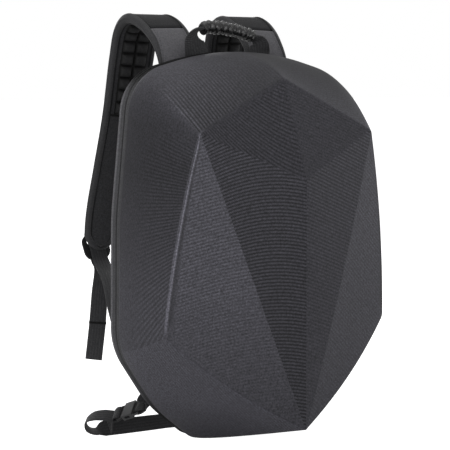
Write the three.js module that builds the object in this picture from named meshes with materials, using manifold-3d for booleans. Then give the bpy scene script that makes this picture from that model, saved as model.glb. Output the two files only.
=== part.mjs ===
// Motorcycle backpack: a hollow faceted shell zipped to a padded back, with shoulder straps, a handle and a
// waist belt. Millimetres. The origin is the middle of the back pad's rear face. +X is to the right of
// someone facing the shell, +Y points towards the wearer and +Z is up.
import * as THREE from 'three';
import { mergeVertices } from 'three/addons/utils/BufferGeometryUtils.js';
import Module from 'manifold-3d';

const wasm = await Module();
wasm.setup();

const GAP = 0.3;
const WELD = 1e-5;
const X_AXIS = new THREE.Vector3(1, 0, 0);
const Z_AXIS = new THREE.Vector3(0, 0, 1);
const point = (x, y, z) => new THREE.Vector3(x, y, z);

// Depths of the layers behind the shell, as Y of each layer's front and rear.
const SHELL_REAR = -38.6;
const ZIP_FRONT = { front: -38.3, rear: -30.3 };
const COIL = { front: -30.0, rear: -26.0 };
const TAPE = { outer: 0.6, inner: 2.2 };
const TEETH = { outer: 1, inner: 2.6 };
const ZIP_REAR = { front: -25.7, rear: -18.7 };
const PIPING = { middle: -15.4, radius: 3 };
const PANEL = { front: -18, rear: -12 };
const PAD_FRONT = PANEL.rear + GAP;

// Corners of the rim outline's left half, from the top middle round to the foot, with the radius that rounds
// each, and how far the shell runs straight forward from the rim there.
const RIM_CORNERS = [
  { name: 'crown', x: 0, z: 252, radius: 320, steps: 4, straight: 50 },
  { name: 'shoulder', x: -146, z: 211.5, radius: 62, steps: 4, straight: 44 },
  { name: 'flank', x: -163, z: 40, radius: 500, steps: 2, straight: 44 },
  { name: 'hip', x: -165, z: -120, radius: 90, steps: 4, straight: 24 },
  { name: 'thigh', x: -116.5, z: -197, radius: 160, steps: 2, straight: 16 },
  { name: 'foot', x: -66, z: -241, radius: 28, steps: 4, straight: 16 },
];

// Corners of the shell's facets. Those off the middle plane are the left ones and are mirrored.
const FACET = {
  brow: point(0, -146, 208),
  temple: point(-117, -159, 145),
  peak: point(0, -198, 91),
  cheek: point(-152.5, -138, -88),
  chin: point(0, -200, -200.5),
};
const SHELL_WALL = 3;
const SHELL_HALF = { x: 165, y: 161, z: 245 };
// How far the facets' edges bow outward at their middles.
const BOW = {
  top: point(0, 0, 0),
  side: point(-5, 0, 0),
  lower: point(-6, 0, -5),
};
const SHELL_ROWS = [0, 0.3, 0.65, 1];

// Padded back: corners of its outline's left half, and how far each ring of its crown draws in.
const PAD_CORNERS = [
  { name: 'crown', x: 0, z: 192, radius: 400, steps: 2 },
  { name: 'shoulder', x: -120, z: 179, radius: 40, steps: 4 },
  { name: 'hip', x: -124, z: -112, radius: 60, steps: 2 },
  { name: 'foot', x: -50, z: -216, radius: 34, steps: 2 },
];
const PAD_RINGS = [
  { inset: 0, y: PAD_FRONT },
  { inset: 0, y: -6 },
  { inset: 4, y: -1.8 },
  { inset: 12, y: 0 },
];

// Shoulder strap on the right: its middle line from the sewn root over the arch to the tip, its width and its
// thickness.
const STRAP = [
  { x: 64, y: -5.9, z: 202, width: 57, thick: 2.6 },
  { x: 64, y: -4.2, z: 226, width: 58, thick: 4 },
  { x: 64.5, y: 14, z: 253, width: 60, thick: 8 },
  { x: 67, y: 48, z: 276.5, width: 64, thick: 11 },
  { x: 70, y: 75, z: 283, width: 65, thick: 12 },
  { x: 71, y: 99, z: 269, width: 64, thick: 12 },
  { x: 73, y: 112, z: 230, width: 64, thick: 12 },
  { x: 79, y: 124, z: 162, width: 61, thick: 12 },
  { x: 91, y: 137, z: 90, width: 56, thick: 11 },
  { x: 103, y: 142, z: 38, width: 49.5, thick: 10 },
  { x: 110.5, y: 139, z: 4, width: 45, thick: 9.4 },
  { x: 113, y: 135.3, z: -18, width: 43, thick: 9 },
];
// How far the right and left straps sway to one side where they hang free.
const SWAY = { right: -9, left: -2.6 };
const STRAP_STEP = 16;
const YOKE_STEPS = 5;
const TIP_TURNS = [30, 55, 74, 85];
const BINDING = { wall: 1.2, lip: 8 };
const CELLS = { start: 136, end: 268, rows: 8, rim: 3.9, lift: 0.6, low: 0.9, high: 4.6, slope: 0.14 };

// Webbing and moulded adjusters.
const WEBBING = { width: 22.5, thick: 1.6 };
const BAR = 3;
const TURN_RADIUS = BAR / 2 + 0.9 + WEBBING.thick / 2;
const TURN_ANGLES = [0, 45, 90, 135, 180];
const LOCK = { width: 38, top: -14, middle: 0, bottom: 18, along: -6, lift: 9.5, tilt: 14, spin: 12 };
const LOCK_CORNERS = { near: 11, far: 13, steps: 6 };
const LOOP_UNDER = [
  { along: -62, lift: 1.4 },
  { along: -50, lift: 1.4 },
  { along: -39, lift: 2.8 },
  { along: -28, lift: 6.4 },
];
const LOOP_OVER = [
  { along: -28, lift: 15.4 },
  { along: -39, lift: 8.6 },
  { along: -50, lift: 3.9 },
  { along: -62, lift: 3.4 },
];
const TAIL = [
  { x: 108.8, y: 137.6, z: -44, thick: 1.6, turn: 6 },
  { x: 112.6, y: 137.4, z: -78, thick: 1.6, turn: 12 },
  { x: 115.6, y: 138, z: -114, thick: 1.6, turn: 16 },
  { x: 115.9, y: 138.2, z: -118, thick: 3.2, turn: 17 },
  { x: 121, y: 141, z: -168, thick: 3.2, turn: 28 },
];
const ANCHOR = [
  { x: 120, y: 86, z: -54 },
  { x: 133, y: 38, z: -85 },
  { x: 140, y: 3, z: -109 },
  { x: 140, y: -9.4, z: -122 },
  { x: 138, y: -10.9, z: -136 },
];

// Handle: middle line of the strip, the angle of its width about Z (0 lies along X), width and thickness.
const HANDLE = [
  { x: -43, y: -10.9, z: 204, turn: 0, width: 33, thick: 1.6 },
  { x: -43.5, y: -10.9, z: 236, turn: 0, width: 33, thick: 1.6 },
  { x: -47.5, y: -12, z: 255, turn: 12, width: 28, thick: 1.9 },
  { x: -43, y: -11, z: 265.5, turn: 50, width: 15, thick: 3.4 },
  { x: -29, y: -9, z: 270, turn: 80, width: 10.4, thick: 4.6 },
  { x: -13, y: -8.5, z: 270.5, turn: 90, width: 10, thick: 5 },
  { x: 12, y: -8.5, z: 267, turn: 90, width: 10, thick: 5 },
  { x: 35, y: -9, z: 260.5, turn: 105, width: 10.4, thick: 4.6 },
  { x: 45.5, y: -11.4, z: 253.5, turn: 145, width: 20, thick: 2.6 },
  { x: 47, y: -10.7, z: 242, turn: 180, width: 30, thick: 1.6 },
  { x: 46, y: -10.9, z: 204, turn: 180, width: 30, thick: 1.6 },
];
const GRIP = { first: 3.55, last: 7.3, rows: 22, sides: 10, across: 9.4, deep: 8.4 };
const GATHERS = { count: 11, height: 0.6 };
const GRIP_BORE = { across: 8, deep: 4.6 };

// Waist belt: the buckle's line from socket to plug, the left end, and the right end round to the far turn.
// Lean is how far the webbing's width tips from upright, and turn the direction about Z in which it tips.
const BELT_WIDTH = 20;
const BUCKLE = {
  start: point(-118, 2, -203),
  end: point(-136, 28, -216),
  lean: 66,
  turn: 60,
  width: 25,
  length: 24,
};
const SOCKET = { frame: 8, wall: 2.2, thick: 8, window: 7 };
const PLUG = { tongue: 8, arm: 3, base: 11 };
const BELT_LEFT = [
  { x: -104, y: -10.9, z: -172 },
  { x: -113, y: -10.6, z: -186 },
  { x: -116, y: -7, z: -194 },
];
const BELT_FAR = [
  { x: -150, y: 44, z: -219, lean: 64, turn: 60 },
  { x: -160, y: 54, z: -221.5, lean: 72, turn: 60 },
  { x: -166.5, y: 60, z: -227.5, lean: 86, turn: 60 },
  { x: -165, y: 63, z: -237, lean: 89, turn: 60 },
  { x: -158, y: 63.5, z: -243, lean: 88, turn: 60 },
  { x: -150, y: 63, z: -244.5, lean: 78, turn: 60 },
  { x: -141, y: 61, z: -241.5, lean: 22, turn: 60 },
  { x: -128, y: 57, z: -240.5, lean: 4, turn: 90 },
  { x: -64, y: 40, z: -236.5, lean: 38, turn: 90 },
  { x: 30, y: 27, z: -236, lean: 30, turn: 90 },
  { x: 92, y: 22, z: -226, lean: 8, turn: 0 },
  { x: 116, y: 12, z: -211, lean: 30, turn: 0 },
  { x: 118, y: -4, z: -197, lean: 52, turn: 0 },
  { x: 113, y: -10.4, z: -186, lean: 59, turn: 0 },
  { x: 104, y: -10.9, z: -171, lean: 59, turn: 0 },
];
const BELT_TAIL = [
  { x: -141, y: 46, z: -236, lean: 10, turn: 60 },
  { x: -140, y: 40, z: -230, lean: 34, turn: 60 },
];

// Zip slider on the hidden right side.
const SLIDER = { z: -20, length: 11, thick: 4, tab: 24, tabWidth: 7 };

const PAINT = {
  shell: { color: 0x3b3c41, roughness: 0.82 },
  tape: { color: 0x47484d, roughness: 0.85 },
  coil: { color: 0x131315, roughness: 0.5 },
  piping: { color: 0x3a3b40, roughness: 0.75 },
  panel: { color: 0x2b2c30, roughness: 0.85 },
  pad: { color: 0x232428, roughness: 0.9 },
  yoke: { color: 0x57595f, roughness: 0.7 },
  strap: { color: 0x232428, roughness: 0.85 },
  lining: { color: 0x17181a, roughness: 0.8 },
  binding: { color: 0x2c2d32, roughness: 0.8 },
  webbing: { color: 0x242529, roughness: 0.75 },
  grip: { color: 0x1b1c1f, roughness: 0.45 },
  plastic: { color: 0x111113, roughness: 0.4 },
  metal: { color: 0x1d1e20, roughness: 0.4, metalness: 0.6 },
};

// Triangles between neighbouring rows of points; a row that goes around also joins its last point to its
// first.
function skin(rows, around) {
  const triangles = [];
  for (let i = 0; i + 1 < rows.length; i += 1) {
    const count = rows[i].length;
    const last = around ? count : count - 1;
    for (let j = 0; j < last; j += 1) {
      const k = (j + 1) % count;
      triangles.push([rows[i][j], rows[i + 1][j], rows[i + 1][k]]);
      triangles.push([rows[i][j], rows[i + 1][k], rows[i][k]]);
    }
  }
  return triangles;
}

const flipped = (triangles) => triangles.map(([a, b, c]) => [a, c, b]);
const mirrored = (triangles) => triangles.map((corners) => corners.map((p) => point(-p.x, p.y, p.z)));
const fan = (middle, row) => row.slice(1).map((p, j) => [middle, row[j], p]);

// Triangles of a flat section, in the order of its outline.
function sectionTriangles(profile) {
  const outline = profile.map(([s, n]) => new THREE.Vector2(s, n));
  const order = Math.sign(THREE.ShapeUtils.area(outline));
  return THREE.ShapeUtils.triangulateShape(outline, []).map((corners) => {
    const turn = Math.sign(THREE.ShapeUtils.area(corners.map((i) => outline[i])));
    return turn === order ? corners : [corners[0], corners[2], corners[1]];
  });
}

// A solid carried through rows of section points, closed by its first and last section.
function loft(rows, profile) {
  const ends = sectionTriangles(profile);
  const cap = (row) => ends.map((corners) => corners.map((i) => row[i]));
  return [...skin(rows, true), ...cap(rows[0]), ...flipped(cap(rows[rows.length - 1]))];
}

// A closed geometry from triangles, without flat ones, and with its faces outward.
function solid(triangles) {
  const kept = triangles.filter(([a, b, c]) => {
    const edge = b.clone().sub(a).cross(c.clone().sub(a));
    return edge.length() > WELD;
  });
  const volume = kept.reduce((sum, [a, b, c]) => sum + a.dot(b.clone().cross(c)), 0);
  const outward = volume > 0 ? kept : flipped(kept);
  const geometry = mergeVertices(new THREE.BufferGeometry().setFromPoints(outward.flat()), WELD);
  geometry.computeVertexNormals();
  return geometry;
}

// Points of an outline with rounded corners and their outward normals, and the place of each corner's middle.
function roundedOutline(half) {
  const right = half.slice(1).reverse().map((corner) => ({ ...corner, x: -corner.x }));
  const corners = [...half, ...right];
  const points = [];
  const middles = [];
  corners.forEach((corner, i) => {
    const before = corners[(i + corners.length - 1) % corners.length];
    const after = corners[(i + 1) % corners.length];
    const into = new THREE.Vector2(corner.x - before.x, corner.z - before.z).normalize();
    const out = new THREE.Vector2(after.x - corner.x, after.z - corner.z).normalize();
    const turn = Math.acos(into.dot(out));
    const reach = corner.radius * Math.tan(turn / 2);
    const centre = new THREE.Vector2(corner.x, corner.z)
      .addScaledVector(into, -reach)
      .addScaledVector(new THREE.Vector2(-into.y, into.x), corner.radius);
    middles.push(points.length + corner.steps / 2);
    for (let j = 0; j <= corner.steps; j += 1) {
      const angle = turn * j / corner.steps;
      const normal = new THREE.Vector2(into.y, -into.x).rotateAround(new THREE.Vector2(), angle);
      const place = { x: centre.x + normal.x * corner.radius, z: centre.y + normal.y * corner.radius };
      points.push({ ...place, normal, straight: corner.straight });
    }
  });
  const first = middles[0];
  const turned = [...points.slice(first), ...points.slice(0, first)];
  return { points: turned, middles: middles.map((m) => m - first), count: points.length };
}

const outlineRing = (outline, inset, y) => outline.points.map(({ x, z, normal }) => (
  point(x - normal.x * inset, y, z - normal.y * inset)));

// A band that follows an outline with a section given as [inset, y] pairs.
function band(outline, section) {
  const rings = section.map(([inset, y]) => outlineRing(outline, inset, y));
  return skin([...rings, rings[0]], true);
}

// The shell's surface as rings from the rim to the facets' edge. Each ring point leaves the rim straight
// forward and bends towards its place on the facets' edge; the cavity is the same form drawn in by the wall
// on each axis.
const rim = roundedOutline(RIM_CORNERS);
const [CROWN, SHOULDER, , HIP, , FOOT] = rim.middles;
const mirrorPoint = (p) => point(-p.x, p.y, p.z);

function facetEdge() {
  const lengths = rim.points.map((p, i) => {
    const next = rim.points[(i + 1) % rim.count];
    return Math.hypot(next.x - p.x, next.z - p.z);
  });
  const stretch = (from, to, start, end, bow) => {
    const whole = lengths.slice(from, to).reduce((sum, length) => sum + length, 0);
    let walked = 0;
    return lengths.slice(from, to).map((length) => {
      const f = walked / whole;
      walked += length;
      return start.clone().lerp(end, f).addScaledVector(bow, 4 * f * (1 - f));
    });
  };
  const left = [
    ...stretch(CROWN, SHOULDER, FACET.brow, FACET.temple, BOW.top),
    ...stretch(SHOULDER, HIP, FACET.temple, FACET.cheek, BOW.side),
    ...stretch(HIP, FOOT, FACET.cheek, FACET.chin, BOW.lower),
  ];
  const bottom = rim.count - 2 * FOOT + 1;
  const right = left.slice(1).reverse().map(mirrorPoint);
  return [...left, ...new Array(bottom).fill(FACET.chin), ...right];
}

function shellSurface(wall) {
  const scale = point(1 - wall / SHELL_HALF.x, 1 - wall / SHELL_HALF.y, 1 - wall / SHELL_HALF.z);
  const draw = (p) => point(p.x * scale.x, SHELL_REAR + (p.y - SHELL_REAR) * scale.y, p.z * scale.z);
  const start = outlineRing(rim, 0, SHELL_REAR);
  const ahead = start.map((p, i) => point(p.x, p.y - rim.points[i].straight, p.z));
  const edge = facetEdge();
  const rings = SHELL_ROWS.map((v) => start.map((p, i) => {
    const first = p.clone().lerp(ahead[i], v);
    const second = ahead[i].clone().lerp(edge[i], v);
    return draw(first.lerp(second, v));
  }));
  return { rings, peak: draw(FACET.peak) };
}

function frontFacets({ rings, peak }) {
  const edge = rings[rings.length - 1];
  const chin = edge[FOOT];
  const temple = edge[SHOULDER];
  const cheekSide = [...edge.slice(SHOULDER, FOOT + 1), temple];
  const middle = temple.clone().add(edge[HIP]).add(chin).divideScalar(3);
  const upper = fan(peak, edge.slice(CROWN, SHOULDER + 1));
  const left = [...upper, [peak, temple, chin], ...fan(middle, cheekSide)];
  return [...left, ...flipped(mirrored(left))];
}

function shell() {
  const outer = shellSurface(0);
  const inner = shellSurface(SHELL_WALL);
  const rings = [...inner.rings.slice().reverse(), ...outer.rings];
  return solid([...skin(rings, true), ...frontFacets(inner), ...flipped(frontFacets(outer))]);
}

function piping() {
  const section = [0, 60, 120, 180, 240, 300].map((degrees) => {
    const angle = THREE.MathUtils.degToRad(degrees);
    return [PIPING.radius * (1 - Math.cos(angle)), PIPING.middle + PIPING.radius * Math.sin(angle)];
  });
  return solid(band(rim, section));
}

const flatBand = ({ front, rear }, { outer, inner }) => solid(band(rim, [
  [outer, front], [outer, rear], [inner, rear], [inner, front]]));

// The back panel fills the piping's inside; the pad lies on it and is crowned towards the wearer.
function plate(outline, rings) {
  const rows = rings.map(({ inset, y }) => outlineRing(outline, inset, y));
  return solid(loft(rows, rows[0].map((p) => [p.x, p.z])));
}

// A path through stations: frames with the place, tangent, side, normal and sizes at a distance or at a
// station.
function makePath(stations) {
  const curve = new THREE.CatmullRomCurve3(stations.map((s) => s.at), false, 'centripetal');
  curve.arcLengthDivisions = 600;
  const frame = (t) => {
    const place = t * (stations.length - 1);
    const i = Math.min(Math.floor(place), stations.length - 2);
    const f = place - i;
    const tangent = curve.getTangent(t);
    const side = stations[i].side.clone().lerp(stations[i + 1].side, f);
    side.addScaledVector(tangent, -side.dot(tangent)).normalize();
    return {
      at: curve.getPoint(t),
      tangent,
      side,
      normal: tangent.clone().cross(side),
      width: THREE.MathUtils.lerp(stations[i].width, stations[i + 1].width, f),
      thick: THREE.MathUtils.lerp(stations[i].thick, stations[i + 1].thick, f),
    };
  };
  return {
    length: curve.getLength(),
    station: (place) => frame(place / (stations.length - 1)),
    along: (distance) => frame(curve.getUtoTmapping(0, distance)),
    frames: (steps) => Array.from({ length: (stations.length - 1) * steps + 1 }, (_, i) => (
      frame(i / ((stations.length - 1) * steps)))),
  };
}

const placed = ({ at, side, normal }, [s, n]) => (
  at.clone().addScaledVector(side, s).addScaledVector(normal, n));
const flatSection = ({ width, thick }) => [
  [width / 2, thick / 2], [-width / 2, thick / 2], [-width / 2, -thick / 2], [width / 2, -thick / 2]];

function ribbon(stations, steps) {
  const frames = makePath(stations).frames(steps);
  return loft(frames.map((f) => flatSection(f).map((sn) => placed(f, sn))), flatSection(frames[0]));
}

// Shoulder strap, worked out on the right and mirrored for the left.
const strap = makePath(STRAP.map(({ x, y, z, width, thick }) => (
  { at: point(x, y, z), side: X_AXIS.clone(), width, thick })));
const tipRadius = STRAP[STRAP.length - 1].width / 2;

// Frames at even distances from the root to the tip, where the width follows a half circle. The strap's
// pieces share them, so that each lies on the same faces.
const strapFrames = (() => {
  const straight = strap.length - tipRadius;
  const count = Math.round(straight / STRAP_STEP);
  const body = Array.from({ length: count + 1 }, (_, i) => ({ distance: straight * i / count, share: 1 }));
  const rounded = TIP_TURNS.map((degrees) => {
    const angle = THREE.MathUtils.degToRad(degrees);
    return { distance: straight + tipRadius * Math.sin(angle), share: Math.cos(angle) };
  });
  return [...body, ...rounded].map((row) => ({ ...row, ...strap.along(row.distance) }));
})();

// A frame between two neighbouring shared frames, on the straight line from one to the other.
function strapBetween(distance) {
  const i = Math.max(1, strapFrames.findIndex((f) => f.distance >= distance));
  const [a, b] = [strapFrames[i - 1], strapFrames[i]];
  const f = (distance - a.distance) / (b.distance - a.distance);
  return {
    at: a.at.clone().lerp(b.at, f),
    side: a.side.clone().lerp(b.side, f),
    normal: a.normal.clone().lerp(b.normal, f),
    width: THREE.MathUtils.lerp(a.width, b.width, f),
    thick: THREE.MathUtils.lerp(a.thick, b.thick, f),
    share: THREE.MathUtils.lerp(a.share, b.share, f),
  };
}

const padHalf = ({ width, share }) => Math.max(1.5, (width / 2 - BINDING.wall - GAP) * share);
function padSection(frame) {
  const half = padHalf(frame);
  const edge = Math.min(1, half / 2);
  const deep = frame.thick / 2;
  return [
    [half, deep - 1], [half - edge, deep], [edge - half, deep], [-half, deep - 1],
    [-half, 1 - deep], [edge - half, -deep], [half - edge, -deep], [half, 1 - deep]];
}

function strapBody(frames) {
  return loft(frames.map((f) => padSection(f).map((sn) => placed(f, sn))), padSection(frames[0]));
}

// Binding tape: a channel that runs down one edge, round the tip and up the other edge.
function strapBinding() {
  const edge = (sign) => strapFrames.slice(1).map((f) => (
    { ...f, at: placed(f, [sign * padHalf(f), 0]) }));
  const walk = [...edge(-1), ...edge(1).reverse()];
  const section = (f) => {
    const high = f.thick / 2 + 2 * GAP + BINDING.wall;
    const low = high - BINDING.wall;
    const back = GAP + BINDING.wall;
    const lip = -BINDING.lip * THREE.MathUtils.clamp(f.thick / 8, 0.5, 1);
    return [
      [back, high], [lip, high], [lip, low], [GAP, low],
      [GAP, -low], [lip, -low], [lip, -high], [back, -high]];
  };
  const rows = walk.map((f, i) => {
    const before = walk[Math.max(i - 1, 0)].at;
    const after = walk[Math.min(i + 1, walk.length - 1)].at;
    const outward = after.clone().sub(before).cross(f.normal).normalize();
    return section(f).map((sn) => placed({ at: f.at, side: outward, normal: f.normal }, sn));
  });
  return loft(rows, section(walk[0]));
}

// Lining: two columns of raised cells on the body side, each with sloping edges down to the grooves.
function strapLining() {
  const pitch = (CELLS.end - CELLS.start) / CELLS.rows;
  const places = [];
  for (let row = 0; row < CELLS.rows; row += 1) {
    places.push({ v: row, raised: false }, { v: row + CELLS.slope, raised: true });
    places.push({ v: row + 1 - CELLS.slope, raised: true });
  }
  places.push({ v: CELLS.rows, raised: false });
  const across = [0, CELLS.slope, 1 - CELLS.slope, 1, 1 + CELLS.slope, 2 - CELLS.slope, 2];
  const section = ({ frame, raised }) => {
    const half = frame.width / 2 - BINDING.wall - GAP - BINDING.lip - CELLS.rim;
    const floor = frame.thick / 2 + CELLS.lift;
    const top = across.map((u) => [(u - 1) * half, floor + (raised && u % 1 !== 0 ? CELLS.high : CELLS.low)]);
    return [...top, [half, floor], [-half, floor]];
  };
  const rows = places.map(({ v, raised }) => ({ frame: strapBetween(CELLS.start + v * pitch), raised }));
  return loft(rows.map((r) => section(r).map((sn) => placed(r.frame, sn))), section(rows[0]));
}

// Frame of the ladder lock: under the strap's tip, leaning forward to the bag and turned a little in its own
// plane, so that its lower end swings to the bag's middle. Places in it are given along the lock and through
// its thickness.
const tip = strap.along(strap.length);
const lockTilt = THREE.MathUtils.degToRad(LOCK.tilt);
const outward = tip.normal.clone().negate();
const lockSide = outward.clone().cross(tip.tangent).normalize();
const lockThrough = outward.clone().applyAxisAngle(lockSide, lockTilt);
const lockAlong = tip.tangent.clone().applyAxisAngle(lockSide, lockTilt)
  .applyAxisAngle(lockThrough, THREE.MathUtils.degToRad(LOCK.spin));
const lockAcross = lockAlong.clone().cross(lockThrough);
const lockPlace = new THREE.Matrix4().makeBasis(lockAlong, lockThrough.clone().cross(lockAlong), lockThrough)
  .setPosition(tip.at.clone().addScaledVector(tip.tangent, LOCK.along)
    .addScaledVector(outward, tip.thick / 2 + LOCK.lift));
const atLock = (along, through) => point(along, 0, through).applyMatrix4(lockPlace);
const webbingStation = (at, side, thick = WEBBING.thick) => ({ at, side, width: WEBBING.width, thick });
const beltStation = (at, side) => ({ at, side, width: BELT_WIDTH, thick: WEBBING.thick });

// A plate with slots, in its own plane: x along the strap, y across it. Arcs round its corners at each end.
function slottedPlate(from, to, width, slots, { near = 3, far = 3, steps = 1 } = {}) {
  const half = width / 2;
  const arc = (x, y, radius, start) => Array.from({ length: steps + 1 }, (_, i) => {
    const angle = start + Math.PI / 2 * i / steps;
    return new THREE.Vector2(x + radius * Math.cos(angle), y + radius * Math.sin(angle));
  });
  const shape = new THREE.Shape([
    ...arc(to - far, half - far, far, 0), ...arc(from + near, half - near, near, Math.PI / 2),
    ...arc(from + near, near - half, near, Math.PI), ...arc(to - far, far - half, far, 1.5 * Math.PI)]);
  shape.holes = slots.map(({ start, end, wide }) => new THREE.Path([
    new THREE.Vector2(start, -wide / 2), new THREE.Vector2(start, wide / 2),
    new THREE.Vector2(end, wide / 2), new THREE.Vector2(end, -wide / 2)]));
  const geometry = new THREE.ExtrudeGeometry(shape, { depth: BAR, bevelEnabled: false });
  return geometry.translate(0, 0, -BAR / 2);
}

function plain(geometry) {
  const bare = geometry.clone();
  bare.deleteAttribute('normal');
  bare.deleteAttribute('uv');
  const welded = mergeVertices(bare, WELD);
  welded.computeVertexNormals();
  return welded;
}

function ladderLock() {
  const slots = [
    { start: LOCK.top + BAR / 2, end: LOCK.middle - BAR / 2, wide: WEBBING.width + 2 },
    { start: LOCK.middle + BAR / 2, end: LOCK.bottom - BAR / 2, wide: WEBBING.width + 1 }];
  const plan = slottedPlate(LOCK.top - BAR / 2, LOCK.bottom + BAR / 2 + 1, LOCK.width, slots, LOCK_CORNERS);
  return plain(plan.applyMatrix4(lockPlace));
}

const turnRound = (along, side, from) => TURN_ANGLES.map((degrees) => {
  const angle = THREE.MathUtils.degToRad(degrees);
  return atLock(along + side * TURN_RADIUS * Math.sin(angle), from * TURN_RADIUS * Math.cos(angle));
});

function lockLoop() {
  const layer = (rows) => rows.map(({ along, lift }) => {
    const f = strapBetween(strap.length + along);
    return f.at.clone().addScaledVector(f.normal, -(f.thick / 2 + lift));
  });
  const onStrap = (rows) => layer(rows).map((at) => webbingStation(at, tip.side));
  const round = turnRound(LOCK.top, 1, -1).map((at) => webbingStation(at, lockAcross));
  return ribbon([...onStrap(LOOP_UNDER), ...round, ...onStrap(LOOP_OVER)], 2);
}

function adjuster() {
  const near = [...turnRound(LOCK.middle, -1, 1)];
  const tail = TAIL.slice().reverse().map(({ x, y, z, thick, turn }) => {
    const side = X_AXIS.clone().applyAxisAngle(Z_AXIS, THREE.MathUtils.degToRad(turn));
    return webbingStation(point(x, y, z), side, thick);
  });
  const over = [atLock(LOCK.bottom + 3, TURN_RADIUS)];
  const under = [atLock(LOCK.bottom + 4, -TURN_RADIUS)];
  const held = [...over, ...near, ...under].map((at) => webbingStation(at, lockAcross));
  const anchor = ANCHOR.map(({ x, y, z }) => webbingStation(point(x, y, z), X_AXIS));
  return ribbon([...tail, ...held, ...anchor], 2);
}

// Handle strip and the gathered sleeve round its middle.
const handlePath = makePath(HANDLE.map(({ x, y, z, turn, width, thick }) => {
  const angle = THREE.MathUtils.degToRad(turn);
  return { at: point(x, y, z), side: point(Math.cos(angle), Math.sin(angle), 0), width, thick };
}));

function handleWebbing() {
  const frames = handlePath.frames(3);
  return loft(frames.map((f) => flatSection(f).map((sn) => placed(f, sn))), flatSection(frames[0]));
}

function handleGrip() {
  const ring = (f, across, deep) => Array.from({ length: GRIP.sides }, (_, j) => {
    const angle = 2 * Math.PI * j / GRIP.sides;
    return placed(f, [across * Math.cos(angle), deep * Math.sin(angle)]);
  });
  const frames = Array.from({ length: GRIP.rows + 1 }, (_, i) => (
    handlePath.station(THREE.MathUtils.lerp(GRIP.first, GRIP.last, i / GRIP.rows))));
  const outer = frames.map((f, i) => {
    const gather = GATHERS.height * Math.cos(2 * Math.PI * GATHERS.count * i / GRIP.rows);
    return ring(f, GRIP.across + gather, GRIP.deep + gather);
  });
  const inner = frames.map((f) => ring(f, GRIP_BORE.across, GRIP_BORE.deep)).reverse();
  return skin([...outer, ...inner, outer[0]], true);
}

// Waist buckle in its own frame: x from socket to plug, y across, z through its thickness.
const buckleLine = BUCKLE.end.clone().sub(BUCKLE.start);
const buckleAlong = buckleLine.clone().normalize();
const leaning = ({ lean, turn }) => new THREE.Vector3().setFromSphericalCoords(
  1, THREE.MathUtils.degToRad(lean), THREE.MathUtils.degToRad(turn + 90)).applyAxisAngle(X_AXIS, Math.PI / 2);
const buckleUp = leaning(BUCKLE);
const buckleAcross = buckleUp.addScaledVector(buckleAlong, -buckleUp.dot(buckleAlong)).normalize();
const buckleThrough = buckleAlong.clone().cross(buckleAcross);
const bucklePlace = new THREE.Matrix4()
  .makeBasis(buckleAlong, buckleAcross, buckleThrough).setPosition(BUCKLE.start);
const atBuckle = (along, through) => point(along, 0, through).applyMatrix4(bucklePlace);
const plugEnd = BUCKLE.length + PLUG.base;
const SOCKET_BAR = BAR / 2;
const PLUG_BAR = plugEnd - BAR / 2;

function toManifold(geometry) {
  const bare = plain(geometry);
  return new wasm.Manifold(new wasm.Mesh({
    numProp: 3,
    vertProperties: new Float32Array(bare.attributes.position.array),
    triVerts: new Uint32Array(bare.index.array),
  }));
}

function fromManifold(manifold) {
  const mesh = manifold.getMesh();
  const geometry = new THREE.BufferGeometry();
  geometry.setAttribute('position', new THREE.BufferAttribute(new Float32Array(mesh.vertProperties), 3));
  geometry.setIndex(Array.from(mesh.triVerts));
  geometry.computeVertexNormals();
  return geometry;
}

function buckleSocket() {
  const { frame, wall, thick, window } = SOCKET;
  const bodyLength = BUCKLE.length - frame;
  const inside = BUCKLE.width - 2 * wall;
  const slots = [{ start: BAR, end: frame - 1, wide: BELT_WIDTH + 1 }];
  const base = toManifold(slottedPlate(0, frame + 4, BUCKLE.width, slots));
  const block = new THREE.BoxGeometry(bodyLength, BUCKLE.width, thick)
    .translate(frame + bodyLength / 2, 0, 0);
  const hollowStart = frame + wall;
  const hollow = new THREE.BoxGeometry(BUCKLE.length, inside, BAR + 2 * GAP)
    .translate(hollowStart + BUCKLE.length / 2, 0, 0);
  const sides = new THREE.BoxGeometry(window, 2 * BUCKLE.width, BAR + 2 * GAP)
    .translate(hollowStart + 3 + window / 2, 0, 0);
  const whole = base.add(toManifold(block)).subtract(toManifold(hollow)).subtract(toManifold(sides));
  return fromManifold(whole).applyMatrix4(bucklePlace);
}

function bucklePlug() {
  const slots = [{ start: BUCKLE.length + 4, end: plugEnd - BAR, wide: BELT_WIDTH + 1 }];
  const base = slottedPlate(BUCKLE.length + GAP, plugEnd, BUCKLE.width, slots);
  const reach = SOCKET.frame + SOCKET.wall + 2 * GAP;
  const depth = BUCKLE.length + 2 - reach;
  const finger = (width, y) => toManifold(
    new THREE.BoxGeometry(depth, width, BAR).translate(reach + depth / 2, y, 0));
  const armAt = BUCKLE.width / 2 - SOCKET.wall - GAP - PLUG.arm / 2;
  const arms = finger(PLUG.arm, armAt).add(finger(PLUG.arm, -armAt));
  const whole = toManifold(base).add(finger(PLUG.tongue, 0)).add(arms);
  return fromManifold(whole).applyMatrix4(bucklePlace);
}

const beltTurn = (along, side, from) => TURN_ANGLES.map((degrees) => {
  const angle = THREE.MathUtils.degToRad(degrees);
  return atBuckle(along + side * TURN_RADIUS * Math.sin(angle), from * TURN_RADIUS * Math.cos(angle));
});
const leaned = (row) => beltStation(point(row.x, row.y, row.z), leaning(row));

function beltLeft() {
  const sewn = point(0.75, 0, -0.66);
  const start = BELT_LEFT.map(({ x, y, z }) => beltStation(point(x, y, z), sewn.clone().negate()));
  const turn = beltTurn(SOCKET_BAR, 1, 1).map((at) => beltStation(at, buckleAcross));
  const back = beltStation(atBuckle(-9, -1.6), buckleAcross);
  return ribbon([...start, beltStation(atBuckle(-8, 1.6), buckleAcross), ...turn, back], 2);
}

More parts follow.
